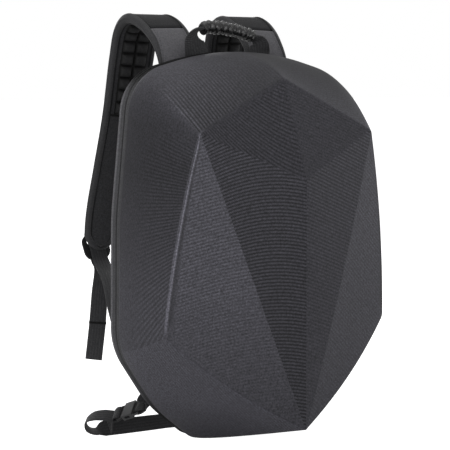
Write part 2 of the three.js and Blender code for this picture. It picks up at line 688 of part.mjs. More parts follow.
function beltRight() {
  const tail = BELT_TAIL.map(leaned);
  const leave = (side) => atBuckle(PLUG_BAR + 5, side * 2.6);
  const round = [leave(-1), ...beltTurn(PLUG_BAR, -1, -1), leave(1)];
  const held = round.map((at) => beltStation(at, buckleAcross));
  return ribbon([...tail, ...held, ...BELT_FAR.map(leaned)], 2);
}

// X of the rim's right side at a height.
function rimSide(z) {
  const next = (i) => rim.points[(i + 1) % rim.count];
  const i = rim.points.findIndex((p, j) => p.x > 0 && p.z <= z && next(j).z > z);
  return THREE.MathUtils.mapLinear(z, rim.points[i].z, next(i).z, rim.points[i].x, next(i).x);
}

// Zip slider: a small block over the coil with a hanging pull, drawn in side view and carried along its
// width.
function zipSlider() {
  const { z, length, thick, tab, tabWidth } = SLIDER;
  const edge = rimSide(z) - TAPE.outer + GAP;
  const profile = [
    [0, length], [thick, length], [thick, 0], [thick + 1.5, -2], [thick + 1.5, -tab], [thick - 0.5, -tab],
    [thick - 0.5, -2], [0, 0]];
  const middle = (COIL.front + COIL.rear) / 2;
  const rows = [-tabWidth / 2, tabWidth / 2].map((y) => (
    profile.map(([x, dz]) => point(edge + x, middle + y, z + dz))));
  return solid(loft(rows, profile));
}

const backpack = new THREE.Group();
backpack.name = 'motorcycle_backpack';
function add(name, geometry, paint) {
  const mesh = new THREE.Mesh(geometry, new THREE.MeshStandardMaterial({ metalness: 0, ...paint }));
  mesh.name = name;
  backpack.add(mesh);
}
// Points moved sideways where a strap hangs free: not by its root, and not by its tip.
function swayed(triangles, amount) {
  const { smoothstep } = THREE.MathUtils;
  return triangles.map((corners) => corners.map((p) => (
    point(p.x + amount * smoothstep(p.y, 20, 110) * smoothstep(p.z, 20, 200), p.y, p.z))));
}
function addPair(name, triangles, paint) {
  add(`${name}_right`, solid(swayed(triangles, SWAY.right)), paint);
  add(`${name}_left`, solid(swayed(mirrored(triangles), SWAY.left)), paint);
}

add('shell', shell(), PAINT.shell);
add('zip_tape_front', flatBand(ZIP_FRONT, TAPE), PAINT.tape);
add('zip_coil', flatBand(COIL, TEETH), PAINT.coil);
add('zip_tape_rear', flatBand(ZIP_REAR, TAPE), PAINT.tape);
add('rim_piping', piping(), PAINT.piping);
const panelInset = 2 * PIPING.radius + GAP;
const panelRings = [{ inset: panelInset, y: PANEL.front }, { inset: panelInset, y: PANEL.rear }];
add('back_panel', plate(rim, panelRings), PAINT.panel);
add('back_pad', plate(roundedOutline(PAD_CORNERS), PAD_RINGS), PAINT.pad);
add('zip_slider', zipSlider(), PAINT.metal);
const seam = strapFrames[YOKE_STEPS].distance;
addPair('strap_yoke', strapBody(strapFrames.slice(0, YOKE_STEPS + 1)), PAINT.yoke);
const padFrames = [strapBetween(seam + GAP), ...strapFrames.slice(YOKE_STEPS + 1)];
addPair('strap_pad', strapBody(padFrames), PAINT.strap);
addPair('strap_lining', strapLining(), PAINT.lining);
addPair('strap_binding', strapBinding(), PAINT.binding);
addPair('lock_loop', lockLoop(), PAINT.webbing);
const lock = ladderLock();
add('ladder_lock_right', lock, PAINT.plastic);
const lockTriangles = [];
for (let i = 0; i < lock.index.count; i += 3) {
  lockTriangles.push([0, 1, 2].map((k) => (
    new THREE.Vector3().fromBufferAttribute(lock.attributes.position, lock.index.getX(i + k)))));
}
add('ladder_lock_left', solid(mirrored(lockTriangles)), PAINT.plastic);
addPair('adjuster', adjuster(), PAINT.webbing);
add('handle_webbing', solid(handleWebbing()), PAINT.webbing);
add('handle_grip', solid(handleGrip()), PAINT.grip);
add('buckle_socket', buckleSocket(), PAINT.plastic);
add('buckle_plug', bucklePlug(), PAINT.plastic);
add('belt_left', solid(beltLeft()), PAINT.webbing);
add('belt_right', solid(beltRight()), PAINT.webbing);

export default backpack;
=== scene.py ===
# %% [markdown]
# # A motorcycle backpack, dressed
# The bag has a stiff moulded shell with flat facets, a zip round its rim, a padded back, two cushioned
# straps, a handle and a waist belt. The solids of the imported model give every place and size. This lesson
# lays cloth, tape, thread and plastic over them, each piece worked out with numpy as a whole array.

# %% Load the frame
import math
import bmesh
import bpy
import numpy as np
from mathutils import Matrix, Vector


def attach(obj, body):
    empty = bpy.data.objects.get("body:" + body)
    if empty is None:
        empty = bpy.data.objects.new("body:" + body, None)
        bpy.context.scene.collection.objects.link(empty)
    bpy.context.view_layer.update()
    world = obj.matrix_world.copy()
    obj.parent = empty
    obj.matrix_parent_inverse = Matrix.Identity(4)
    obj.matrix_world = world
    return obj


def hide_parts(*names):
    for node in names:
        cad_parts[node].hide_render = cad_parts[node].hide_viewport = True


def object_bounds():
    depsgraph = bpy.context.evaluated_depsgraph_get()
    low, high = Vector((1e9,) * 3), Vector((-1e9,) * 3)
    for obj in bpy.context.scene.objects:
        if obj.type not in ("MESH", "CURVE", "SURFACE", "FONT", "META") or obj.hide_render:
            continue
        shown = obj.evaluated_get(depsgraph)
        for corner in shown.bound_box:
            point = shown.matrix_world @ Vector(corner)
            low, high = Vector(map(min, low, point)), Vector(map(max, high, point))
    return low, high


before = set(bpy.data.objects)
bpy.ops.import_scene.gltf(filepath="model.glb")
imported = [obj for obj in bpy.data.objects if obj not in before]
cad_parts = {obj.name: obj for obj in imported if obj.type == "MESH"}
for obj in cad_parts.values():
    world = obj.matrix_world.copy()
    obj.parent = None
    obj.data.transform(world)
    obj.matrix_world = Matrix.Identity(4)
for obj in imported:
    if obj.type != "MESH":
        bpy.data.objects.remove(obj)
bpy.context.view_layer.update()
MM = 0.001

# %% [markdown]
# The photograph looks at the bag from the front and the left, a little above its middle. A camera that far
# away flattens the perspective, so its angle is narrow. It comes first, because everything is judged by it.

# %% Camera
EYE = Vector((-0.8069, -1.4606, 0.2018))
AIM = Vector((-0.0352, -0.0685, 0.0292))
PICTURE = 450
FOCAL_PIXELS = 1311.3
camera = bpy.data.objects.new("camera", bpy.data.cameras.new("camera"))
camera.location = EYE
camera.rotation_euler = (AIM - EYE).to_track_quat("-Z", "Y").to_euler()
camera.data.angle = 2 * math.atan(PICTURE / 2 / FOCAL_PIXELS)
camera.data.clip_end = 50
bpy.context.scene.collection.objects.link(camera)
bpy.context.scene.camera = camera
print("camera angle", round(math.degrees(camera.data.angle), 2))

# %% [markdown]
# Every piece below is a grid of points: rows along it and points around it. One helper turns such an array
# into a mesh and makes its faces point outwards, by the sign of the volume that they enclose.

# %% Meshes from arrays
CLOTH_MAP = "cloth"


def grid_faces(rows, around, closed_rows=False):
    """Quads between neighbouring rows of a grid whose rows close on themselves."""
    index = np.arange(rows * around).reshape(rows, around)
    if closed_rows:
        index = np.vstack([index, index[:1]])
    beside = np.roll(index, -1, axis=1)
    return np.stack([index[:-1], beside[:-1], beside[1:], index[1:]], -1).reshape(-1, 4)


def end_faces(row):
    """Quads that close a row of points by joining each point to the one opposite it."""
    half = len(row) // 2
    there = row[:half]
    back = row[::-1][:half]
    return np.stack([there[:-1], there[1:], back[1:], back[:-1]], -1)


def capped_faces(rows, around):
    """Faces of a tube of rows, with both of its ends filled."""
    index = np.arange(rows * around).reshape(rows, around)
    return np.vstack([grid_faces(rows, around), end_faces(index[0])[:, ::-1], end_faces(index[-1])])


def volume_inside(points, faces):
    """Six times the volume that faces enclose: a sum over the tetrahedra that their triangles make with the
    middle of the points."""
    corner = points[faces] - points.mean(0)
    return sum(np.einsum("ij,ij->", corner[:, 0], np.cross(corner[:, k], corner[:, k + 1]))
               for k in range(1, faces.shape[1] - 1))


def put_mesh(name, points, faces, uv=None):
    """A smooth object at the origin from points and faces. A UV pair is given for each point, or for each
    corner of each face."""
    if uv is not None and uv.ndim == 2:
        uv = uv[faces]
    if volume_inside(points, faces) < 0:
        faces = faces[:, ::-1]
        uv = None if uv is None else uv[:, ::-1]
    mesh = bpy.data.meshes.new(name)
    mesh.vertices.add(len(points))
    mesh.vertices.foreach_set("co", points.astype(np.float32).ravel())
    mesh.loops.add(faces.size)
    mesh.loops.foreach_set("vertex_index", faces.astype(np.int32).ravel())
    mesh.polygons.add(len(faces))
    mesh.polygons.foreach_set("loop_start", np.arange(0, faces.size, faces.shape[1], dtype=np.int32))
    mesh.polygons.foreach_set("use_smooth", np.ones(len(faces), bool))
    mesh.update(calc_edges=True)
    if uv is not None:
        mesh.uv_layers.new(name=CLOTH_MAP).data.foreach_set("uv", uv.astype(np.float32).ravel())
    mesh.validate()
    piece = bpy.data.objects.new(name, mesh)
    bpy.context.scene.collection.objects.link(piece)
    return piece


def finish_piece(piece, material, slot, *nodes):
    """Gives a piece its material, lets it ride on the bag and hides the solids that it stands for."""
    piece.data.materials.clear()
    piece.data.materials.append(material)
    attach(piece, "root")
    if nodes:
        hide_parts(*nodes)
    return piece


# %% [markdown]
# Straps, webbing and belts are all a flat section carried along a curve through a few stations. The curve is
# the same kind that the solids use: a cubic between stations whose pace follows the square root of their
# distance, which doesn't overshoot where stations are close together.

# %% Rails
def unit(vectors):
    """Vectors divided by their lengths."""
    return vectors / np.linalg.norm(vectors, axis=-1, keepdims=True)


def walked_along(points):
    """Distance from the first point to each, summed over the straight runs between them."""
    return np.concatenate([[0], np.cumsum(np.linalg.norm(np.diff(points, axis=0), axis=1))])


def rows_at(places, known, table):
    """A table's rows at other places, each column taken straight between its neighbours."""
    return np.stack([np.interp(places, known, column) for column in table.T], -1)


class Rail:
    """Places along a curve with its tangent, side and normal, and further values at each place."""

    def __init__(self, at, side, values):
        self.at = at
        self.values = values
        self.tangent = unit(np.gradient(at, axis=0))
        self.side = unit(side - (side * self.tangent).sum(1, keepdims=True) * self.tangent)
        self.normal = np.cross(self.tangent, self.side)
        self.distance = walked_along(at)

    def between(self, places):
        """The rail at other distances, each value taken between its neighbours."""
        return Rail(*(rows_at(places, self.distance, table) for table in (self.at, self.side, self.values)))


def rail_through(places, sides, values, steps):
    """A rail through stations, with a number of steps between each two."""
    places, sides, values = (np.asarray(t, float) for t in (places, sides, values))
    whole = np.vstack([2 * places[0] - places[1], places, 2 * places[-1] - places[-2]])
    pace = np.sqrt(np.linalg.norm(np.diff(whole, axis=0), axis=1))[:, None]
    before, here, after, beyond = whole[:-3], whole[1:-2], whole[2:-1], whole[3:]
    d0, d1, d2 = pace[:-2], pace[1:-1], pace[2:]
    leave = ((here - before) / d0 - (after - before) / (d0 + d1) + (after - here) / d1) * d1
    reach = ((after - here) / d1 - (beyond - here) / (d1 + d2) + (beyond - after) / d2) * d1
    f = (np.arange(steps) / steps)[None, :, None]
    curve = (here[:, None] * (2 * f**3 - 3 * f**2 + 1) + after[:, None] * (3 * f**2 - 2 * f**3)
             + leave[:, None] * (f**3 - 2 * f**2 + f) + reach[:, None] * (f**3 - f**2))

    def mix(table):
        """A table's rows at each step, taken straight between two stations."""
        return table[:-1, None] * (1 - f) + table[1:, None] * f

    def flat(table, last):
        """All steps in one run, with the last station after them."""
        return np.vstack([table.reshape(-1, table.shape[-1]), last[None]])

    return Rail(flat(curve, places[-1]), flat(mix(sides), sides[-1]), flat(mix(values), values[-1]))


def oval(half, deep, points, squareness):
    """Sections like a squared oval. The place across is the cosine of an angle, and the depth is a root of
    one less a high power of that place; squareness gives both. Point j lies opposite point -1-j."""
    angle = (np.arange(points) + 0.5) * 2 * np.pi / points
    across = np.cos(angle)
    through = np.sign(np.sin(angle)) * (1 - np.abs(across) ** (2 / squareness[0])) ** (squareness[1] / 2)
    return np.stack([half[:, None] * across, deep[:, None] * through], -1)


def sweep(name, rail, section):
    """A closed piece from a section carried along a rail: its place, plus the section's two values along the
    rail's side and normal. The UV map holds metres round the section and along the rail."""
    points = (rail.at[:, None] + section[..., :1] * rail.side[:, None]
              + section[..., 1:] * rail.normal[:, None])
    rows, around = points.shape[:2]
    uv = np.stack([section[..., 0], np.repeat(rail.distance[:, None], around, 1)], -1)
    return put_mesh(name, points.reshape(-1, 3), capped_faces(rows, around), uv.reshape(-1, 2))


def smooth(value, low, high):
    """A step from 0 to 1 between two values: three times the square of the way less twice its cube."""
    way = np.clip((value - low) / (high - low), 0, 1)
    return way**2 * (3 - 2 * way)


SWAY_RIGHT, SWAY_LEFT = -9 * MM, -2.6 * MM
SWAY_DEPTHS = (20 * MM, 110 * MM)
SWAY_HEIGHTS = (20 * MM, 200 * MM)


def sway(points, amount):
    """Moves places sideways where a strap hangs free: not by its root, and not by its tip."""
    moved = np.array(points, float)
    free = smooth(moved[..., 1], *SWAY_DEPTHS) * smooth(moved[..., 2], *SWAY_HEIGHTS)
    moved[..., 0] += amount * free
    return moved


def move_points(piece, change):
    """Sends all of a piece's points through a function."""
    points = np.empty(len(piece.data.vertices) * 3, np.float32)
    piece.data.vertices.foreach_get("co", points)
    points = change(points.reshape(-1, 3)).astype(np.float32)
    piece.data.vertices.foreach_set("co", points.ravel())
    piece.data.update()


def pair_of(piece, name):
    """Makes a strap's piece, built on the right, into two: a mirrored copy joins it on the left with its
    faces turned round again, and each sways as its own strap does."""
    twin = bpy.data.objects.new(name, piece.data.copy())
    twin.data.name = name
    bpy.context.scene.collection.objects.link(twin)
    move_points(twin, lambda points: sway(points * [-1, 1, 1], SWAY_LEFT))
    twin.data.flip_normals()
    move_points(piece, lambda points: sway(points, SWAY_RIGHT))
    return twin


def finish_pair(piece, material, slot, *nodes):
    """Finishes a strap's piece built on the right, and its twin on the left."""
    finish_piece(piece, material, slot, *(node + "_right" for node in nodes))
    twin = pair_of(piece, piece.name.replace("right", "left"))
    return piece, finish_piece(twin, material, slot, *(node + "_left" for node in nodes))


# %% [markdown]
# Nearly everything on the bag is woven. Three node groups draw threads on a UV map in metres: a plain weave,
# whose threads pass over and under each other, ribbed webbing, and the shell's coarse ribs. A fourth gives
# the slow, blotchy change that handling and dust leave on cloth, and the speckle of uneven yarn. Each
# material sets its own thread size and depth.

# %% Weave and handling groups
def new_group(name, inputs, outputs):
    """An empty shader group with named inputs and outputs; gives it with its two end nodes."""
    group = bpy.data.node_groups.new(name, "ShaderNodeTree")
    for way, sockets in (("INPUT", inputs), ("OUTPUT", outputs)):
        for title, kind in sockets:
            group.interface.new_socket(title, in_out=way, socket_type="NodeSocket" + kind)
    return group, group.nodes.new("NodeGroupInput"), group.nodes.new("NodeGroupOutput")


def calculate(tree, operation, *values):
    """A Math node on numbers and sockets; gives its result socket."""
    node = tree.nodes.new("ShaderNodeMath")
    node.operation = operation
    for socket, value in zip(node.inputs, values):
        if isinstance(value, (int, float)):
            socket.default_value = value
        else:
            tree.links.new(value, socket)
    return node.outputs[0]


def rounded_ridge(tree, angle):
    """The absolute sine of an angle."""
    return calculate(tree, "ABSOLUTE", calculate(tree, "SINE", angle))


def slow_wave(tree, angle):
    """The cosine of an angle, brought between 0 and 1."""
    return calculate(tree, "MULTIPLY_ADD", calculate(tree, "COSINE", angle), 0.5, 0.5)


def plain_weave(tree, across, along):
    """Each thread is a rounded ridge, and a slow product of cosines across both ways says which of the two
    threads lies on top."""
    u = calculate(tree, "MULTIPLY", across, math.pi)
    v = calculate(tree, "MULTIPLY", along, math.pi)
    over = calculate(tree, "MULTIPLY", calculate(tree, "COSINE", u), calculate(tree, "COSINE", v))
    share = calculate(tree, "MULTIPLY_ADD", over, 0.5, 0.5)
    under = calculate(tree, "SUBTRACT", 1.0, share)
    raised = calculate(tree, "MULTIPLY", rounded_ridge(tree, u), share)
    return calculate(tree, "MULTIPLY_ADD", rounded_ridge(tree, v), under, raised)


CHANNEL_THREADS, CHANNEL_POWER = 3, 0.35


def webbing_ribs(tree, across, along):
    """Close ribs across the webbing's length, each a rounded ridge, broken into short bars by channels that
    run along it: a slower ridge, flattened by a small power."""
    rib = rounded_ridge(tree, calculate(tree, "MULTIPLY", along, math.pi))
    lane = rounded_ridge(tree, calculate(tree, "MULTIPLY", across, math.pi / CHANNEL_THREADS))
    return calculate(tree, "MULTIPLY", rib, calculate(tree, "POWER", lane, CHANNEL_POWER))


THREAD_LEAN, THREAD_SHARE = 1.5, 0.25


def shell_ribs(tree, across, along):
    """Broad ribs, a slow wave along one way, broken by single threads that cross them, two to a rib, and
    lean with the rib's own angle."""
    way = calculate(tree, "MULTIPLY", along, 2 * math.pi)
    rib = calculate(tree, "MULTIPLY", slow_wave(tree, way), 1 - THREAD_SHARE)
    lean = calculate(tree, "MULTIPLY", way, THREAD_LEAN)
    thread = slow_wave(tree, calculate(tree, "ADD", calculate(tree, "MULTIPLY", across, 4 * math.pi), lean))
    return calculate(tree, "MULTIPLY_ADD", thread, THREAD_SHARE, rib)


def thread_group(name, height_of):
    """A group that gives the height of threads at a UV place, worked out from the place's two numbers,
    across and along, in threads."""
    group, given, result = new_group(name, [("Vector", "Vector")], [("Height", "Float")])
    parts = group.nodes.new("ShaderNodeSeparateXYZ")
    group.links.new(given.outputs[0], parts.inputs[0])
    group.links.new(height_of(group, parts.outputs[0], parts.outputs[1]), result.inputs[0])
    return group


FINE_NOISE, FINE_SHARE = 14.0, 0.4
YARN_NOISE, YARN_CONTRAST = 58.0, 2.4


def noise(tree, place, size):
    """A noise whose scale is a socket; gives its node."""
    node = tree.nodes.new("ShaderNodeTexNoise")
    tree.links.new(place, node.inputs["Vector"])
    tree.links.new(size, node.inputs["Scale"])
    return node


def handling_group():
    """Slow change over the surface: two noises of different size, mixed, from 0 to 1. A third noise, as fine
    as the threads and with its contrast raised, gives the speckle of uneven yarn."""
    group, given, result = new_group("handling", [("Vector", "Vector"), ("Size", "Float")],
                                     [("Amount", "Float"), ("Speckle", "Float")])
    place, size = given.outputs[0], given.outputs[1]
    broad = noise(group, place, size)
    broad.inputs["Detail"].default_value = 3
    fine = noise(group, place, calculate(group, "MULTIPLY", size, FINE_NOISE))
    most = calculate(group, "MULTIPLY", broad.outputs["Fac"], 1 - FINE_SHARE)
    both = calculate(group, "MULTIPLY_ADD", fine.outputs["Fac"], FINE_SHARE, most)
    group.links.new(both, result.inputs[0])
    yarn = noise(group, place, calculate(group, "MULTIPLY", size, YARN_NOISE))
    strong = calculate(group, "MULTIPLY_ADD", yarn.outputs["Fac"], YARN_CONTRAST, (1 - YARN_CONTRAST) / 2)
    speckle = calculate(group, "MINIMUM", calculate(group, "MAXIMUM", strong, 0.0), 1.0)
    group.links.new(speckle, result.inputs[1])
    return group


WEAVE = thread_group("weave", plain_weave)
RIBS = thread_group("ribs", webbing_ribs)
SHELL_WEAVE = thread_group("shell_weave", shell_ribs)
HANDLING = handling_group()
print("groups", [g.name for g in bpy.data.node_groups])

# %% [markdown]
# A cloth's own numbers are its colour, thread size, thread depth, how rough it is and how much its fibres
# catch the light at a slant. Constant numbers are set on the shader's own sockets; only what changes over
# the surface is linked.

# %% Cloth and plastic materials
CLOTH_BLOTCHES, PLASTIC_MARKS = 9, 60
THREAD_GLOSS = 0.12
MARK_SWING, MARK_GLOSS = 0.22, 0.1


def start_material(name):
    """An empty material with a Principled shader; gives the material, its tree and the shader."""
    material = bpy.data.materials.new(name)
    material.use_nodes = True
    tree = material.node_tree
    tree.nodes.clear()
    shader = tree.nodes.new("ShaderNodeBsdfPrincipled")
    output = tree.nodes.new("ShaderNodeOutputMaterial")
    tree.links.new(shader.outputs[0], output.inputs[0])
    return material, tree, shader


def blend_colours(tree, factor, low, high):
    """A Mix node between two colours, given as numbers or sockets."""
    mix = tree.nodes.new("ShaderNodeMix")
    mix.data_type = "RGBA"
    tree.links.new(factor, mix.inputs[0])
    for socket, value in ((mix.inputs[6], low), (mix.inputs[7], high)):
        if isinstance(value, tuple):
            socket.default_value = (*value, 1)
        else:
            tree.links.new(value, socket)
    return mix.outputs[2]


def multiply_colours(tree, first, second):
    """A Mix node that gives the product of two colour sockets."""
    product = tree.nodes.new("ShaderNodeMix")
    product.data_type = "RGBA"
    product.blend_type = "MULTIPLY"
    product.inputs[0].default_value = 1
    tree.links.new(first, product.inputs[6])
    tree.links.new(second, product.inputs[7])
    return product.outputs[2]


def shade(colour, amount):
    """A colour times an amount, no lighter than white."""
    return tuple(min(1.0, c * amount) for c in colour)


def grey(tone):
    """A colour with three equal parts."""
    return (tone,) * 3


def place_group(tree, group):
    """A node that holds a group."""
    node = tree.nodes.new("ShaderNodeGroup")
    node.node_tree = group
    return node


def add_handling(tree, size):
    """The handling group over Object coordinates; gives its blotches and its speckle."""
    where = tree.nodes.new("ShaderNodeTexCoord")
    hands = place_group(tree, HANDLING)
    hands.inputs["Size"].default_value = size
    tree.links.new(where.outputs["Object"], hands.inputs["Vector"])
    return hands.outputs["Amount"], hands.outputs["Speckle"]


def add_bump(tree, shader, height, depth):
    """Tilts the surface's light by a height from 0 to 1, times a depth in millimetres."""
    bump = tree.nodes.new("ShaderNodeBump")
    bump.inputs["Strength"].default_value = 1
    bump.inputs["Distance"].default_value = depth * MM
    tree.links.new(height, bump.inputs["Height"])
    tree.links.new(bump.outputs[0], shader.inputs["Normal"])


def read_attribute(tree, name):
    """The socket of a piece's own attribute."""
    reading = tree.nodes.new("ShaderNodeAttribute")
    reading.attribute_name = name
    return reading.outputs["Fac"]


def cloth(name, colour, pitch, depth, rough, weave=WEAVE, sheen=0.1, contrast=0.5, worn=0.2, shine=0.3,
          fade=None, speckle=0.25):
    """Woven cloth: thread tops lighter than the gaps between them, blotches from handling, a speckle of
    uneven yarn, and a bump of the threads' own depth. Pitch is the thread's width across and along, in
    millimetres. Fade names an attribute that weakens the weave where it is below one."""
    material, tree, shader = start_material(name)
    place = tree.nodes.new("ShaderNodeUVMap")
    place.uv_map = CLOTH_MAP
    scale = tree.nodes.new("ShaderNodeMapping")
    scale.inputs["Scale"].default_value = (1 / (pitch[0] * MM), 1 / (pitch[1] * MM), 1)
    tree.links.new(place.outputs[0], scale.inputs[0])
    threads = place_group(tree, weave)
    tree.links.new(scale.outputs[0], threads.inputs[0])
    height = threads.outputs[0]
    if fade:
        swing = calculate(tree, "SUBTRACT", height, 0.5)
        height = calculate(tree, "MULTIPLY_ADD", swing, read_attribute(tree, fade), 0.5)
    handled, uneven = add_handling(tree, CLOTH_BLOTCHES)
    woven = blend_colours(tree, height, shade(colour, 1 - contrast), shade(colour, 1 + contrast))
    blotch = blend_colours(tree, handled, grey(1 - worn), grey(1 + worn))
    yarn = blend_colours(tree, uneven, grey(1 - speckle), grey(1 + speckle))
    marks = multiply_colours(tree, blotch, yarn)
    tree.links.new(multiply_colours(tree, woven, marks), shader.inputs["Base Color"])
    dull = calculate(tree, "MULTIPLY_ADD", height, -THREAD_GLOSS, rough + THREAD_GLOSS / 2)
    tree.links.new(dull, shader.inputs["Roughness"])
    add_bump(tree, shader, height, depth)
    shader.inputs["Sheen Weight"].default_value = sheen
    shader.inputs["Sheen Roughness"].default_value = 0.5
    shader.inputs["Specular IOR Level"].default_value = shine
    return material


def tone_by(material, attribute, low, high):
    """Multiplies a material's colour by a grey between two tones, following an attribute of the piece."""
    tree = material.node_tree
    base = tree.nodes["Principled BSDF"].inputs["Base Color"]
    before = base.links[0].from_socket
    tone = blend_colours(tree, read_attribute(tree, attribute), grey(low), grey(high))
    tree.links.new(multiply_colours(tree, before, tone), base)


def moulded(name, colour, rough, grain=0.02, metal=0.0):
    """Moulded plastic or painted metal: a fine grain in its gloss and surface, and faint handling marks."""
    material, tree, shader = start_material(name)
    handled, _ = add_handling(tree, PLASTIC_MARKS)
    marked = blend_colours(tree, handled, shade(colour, 0.7), shade(colour, 1.35))
    tree.links.new(marked, shader.inputs["Base Color"])
    dull = calculate(tree, "MULTIPLY_ADD", handled, MARK_SWING, rough - MARK_GLOSS)
    tree.links.new(dull, shader.inputs["Roughness"])
    add_bump(tree, shader, handled, grain)
    shader.inputs["Metallic"].default_value = metal
    return material


SHELL_CLOTH = cloth("shell_cloth", (0.039, 0.038, 0.046), (4, 4), 0.2, 0.58, weave=SHELL_WEAVE, sheen=0.02,
                    contrast=0.9, worn=0.12, shine=0.36, fade="ribs", speckle=0.5)
# Painted shade: each facet of the shell is made lighter or darker by its own tone.
tone_by(SHELL_CLOTH, "painted_facet_shade", 0, 2)
# Painted highlight along the folds and the shoulder's crease, with painted shade on the edge's last row.
tone_by(SHELL_CLOTH, "ridge", 0.4, 2.4)
TAPE_CLOTH = cloth("zip_tape_cloth", (0.075, 0.075, 0.0795), (0.9, 1.2), 0.15, 0.75, sheen=0.01, shine=0.15)
PIPING_CLOTH = cloth("piping_cloth", (0.115, 0.114, 0.122), (1.0, 1.4), 0.15, 0.7, sheen=0.02, shine=0.15)
# Painted light and shade: the tape and piping are paler where the rim faces left and dark elsewhere.
tone_by(TAPE_CLOTH, "upright", 0.02, 1)
tone_by(PIPING_CLOTH, "upright", 0.05, 1.2)
PANEL_CLOTH = cloth("panel_cloth", (0.034, 0.034, 0.0365), (1.2, 1.2), 0.15, 0.8)
BACK_MESH = cloth("back_mesh", (0.042, 0.042, 0.0445), (2.6, 2.2), 0.5, 0.85, contrast=0.7)
YOKE_CLOTH = cloth("yoke_cloth", (0.11, 0.108, 0.118), (0.7, 0.7), 0.05, 0.5, contrast=0.15, worn=0.1)
STRAP_CLOTH = cloth("strap_cloth", (0.024, 0.024, 0.0257), (1.4, 1.1), 0.16, 0.7, sheen=0.04, shine=0.2)
STRAP_MESH = cloth("strap_mesh", (0.009, 0.009, 0.0094), (1.5, 1.5), 0.3, 0.6, sheen=0.03, contrast=0.7)
# Painted shade in the groove beside the binding; the body side is made lighter.
tone_by(STRAP_CLOTH, "tuck", 1, 0.08)
tone_by(STRAP_CLOTH, "body_side", 1, 1.7)
# Painted shade in the grooves between the cells and painted light on their tops.
tone_by(STRAP_MESH, "raised", 0.04, 2.5)
BINDING_TAPE = cloth("binding_tape", (0.036, 0.036, 0.0385), (0.8, 1.5), 0.14, 0.65)
SEAM_TAPE = cloth("seam_tape", (0.004, 0.004, 0.0042), (0.8, 0.8), 0.1, 0.8)
WEBBING_CLOTH = cloth("webbing_cloth", (0.045, 0.045, 0.048), (1.25, 1.5), 0.35, 0.65, weave=RIBS)
BELT_CLOTH = cloth("belt_cloth", (0.026, 0.026, 0.028), (1.25, 1.5), 0.35, 0.65, weave=RIBS)
SLEEVE_CLOTH = cloth("sleeve_cloth", (0.01, 0.01, 0.0105), (0.8, 0.8), 0.05, 0.26, sheen=0.03,
                     contrast=0.2, shine=0.9)
THREAD = cloth("thread", (0.09, 0.09, 0.096), (0.6, 0.6), 0.05, 0.6)
COIL_PLASTIC = moulded("coil_plastic", (0.004, 0.004, 0.0043), 0.6)
BLACK_PLASTIC = moulded("black_plastic", (0.016, 0.016, 0.017), 0.42)
# A lighter copy of the black plastic: a painted highlight in its colour, as well as a real gloss.
BUCKLE_PLASTIC = moulded("buckle_plastic", (0.045, 0.045, 0.047), 0.3)
SLIDER_METAL = moulded("slider_metal", (0.03, 0.03, 0.032), 0.4, metal=0.6)
print("materials", len(bpy.data.materials))

# %% [markdown]
# The rim is a closed outline with eleven rounded corners. It carries the shell, both halves of the zip, the
# piping and the back panel, so it is worked out once and resampled at even steps.

# %% Rim outline
RIM_CORNERS = np.array([  # x, z, radius, straight run of the shell ahead of the rim
    [0, 252, 320, 50], [-146, 211.5, 62, 44], [-163, 40, 500, 44],
    [-165, -120, 90, 24], [-116.5, -197, 160, 16], [-66, -241, 28, 16]], float)
SHELL_REAR = -38.6


def rounded_outline(half, steps=48):
    """Arcs that touch both sides of each corner, joined by straight runs. Gives points, outward normals,
    distance along and each corner's middle distance, starting at the top middle."""
    whole = np.vstack([half, half[:0:-1] * [-1, *np.ones(half.shape[1] - 1)]])
    corner, radius = whole[:, :2], whole[:, 2]
    into = unit(corner - np.roll(corner, 1, 0))
    out = np.roll(into, -1, 0)
    turn = np.arccos((into * out).sum(1))
    inward = np.stack([-into[:, 1], into[:, 0]], -1)
    centre = corner - into * (radius * np.tan(turn / 2))[:, None] + inward * radius[:, None]
    angle = turn[:, None] * np.linspace(0, 1, steps)
    normal = -inward[:, None] * np.cos(angle)[..., None] + into[:, None] * np.sin(angle)[..., None]
    points = centre[:, None] + normal * radius[:, None, None]
    start = steps // 2
    points = np.roll(points.reshape(-1, 2), -start, 0)
    normal = np.roll(normal.reshape(-1, 2), -start, 0)
    ring = np.vstack([points, points[:1]])
    walked = walked_along(ring)
    middles = walked[(np.arange(len(whole)) * steps) % len(points)]
    return ring, np.vstack([normal, normal[:1]]), walked, middles


def even_outline(half, count):
    """The outline at even steps: x and z, outward normals and distance."""
    ring, normal, walked, _ = rounded_outline(half)
    place = np.arange(count) * walked[-1] / count
    return rows_at(place, walked, ring), unit(rows_at(place, walked, normal)), place


rim_ring, _, rim_walked, rim_middles = rounded_outline(RIM_CORNERS)
RIM_LENGTH = rim_walked[-1]
print("rim length mm", round(RIM_LENGTH, 1))

# %% [markdown]
# The shell is stiff cloth laminate moulded in facets. From the rim it runs forward and bends in to the
# facets' edge; beyond that edge the front folds along a line from temple to chin and rises to a peak. The
# grid has a column on every corner and a row on every fold, so each facet stays flat. A fold is rounded by a
# short quadratic curve through five rows, as the mould's edge rounds it.

# %% Shell facets
BROW, TEMPLE, PEAK, CHEEK, CHIN = (np.array(p, float) for p in (
    (0, -146, 208), (-117, -159, 145), (0, -198, 91), (-152.5, -138, -88), (0, -200, -200.5)))
BOWS = np.array([[0, 0, 0], [-5, 0, 0], [-6, 0, -5]], float)  # at the middle of each run of the facets' edge
FOLD_RISE = np.array([-1.7, -3.5, 0.8])
COLUMNS = [48, 100, 50, 14]
SIDE_ROWS, FACET_ROWS, PEAK_ROWS, ROUND_ROWS = 36, 14, 26, 5
EDGE_REACH, FOLD_REACH = 3.2, 2.2
SIDE_SHARE = 0.965  # of the side's curve, up to the rounded edge
PEAK_SHARE = 0.45  # of the way to the peak, where there is no fold
SOFTENINGS = 2
crown_at_rim, shoulder_at_rim, _, hip_at_rim, _, foot_at_rim = rim_middles[:6]
STOPS = [crown_at_rim, shoulder_at_rim, hip_at_rim, foot_at_rim, RIM_LENGTH / 2]


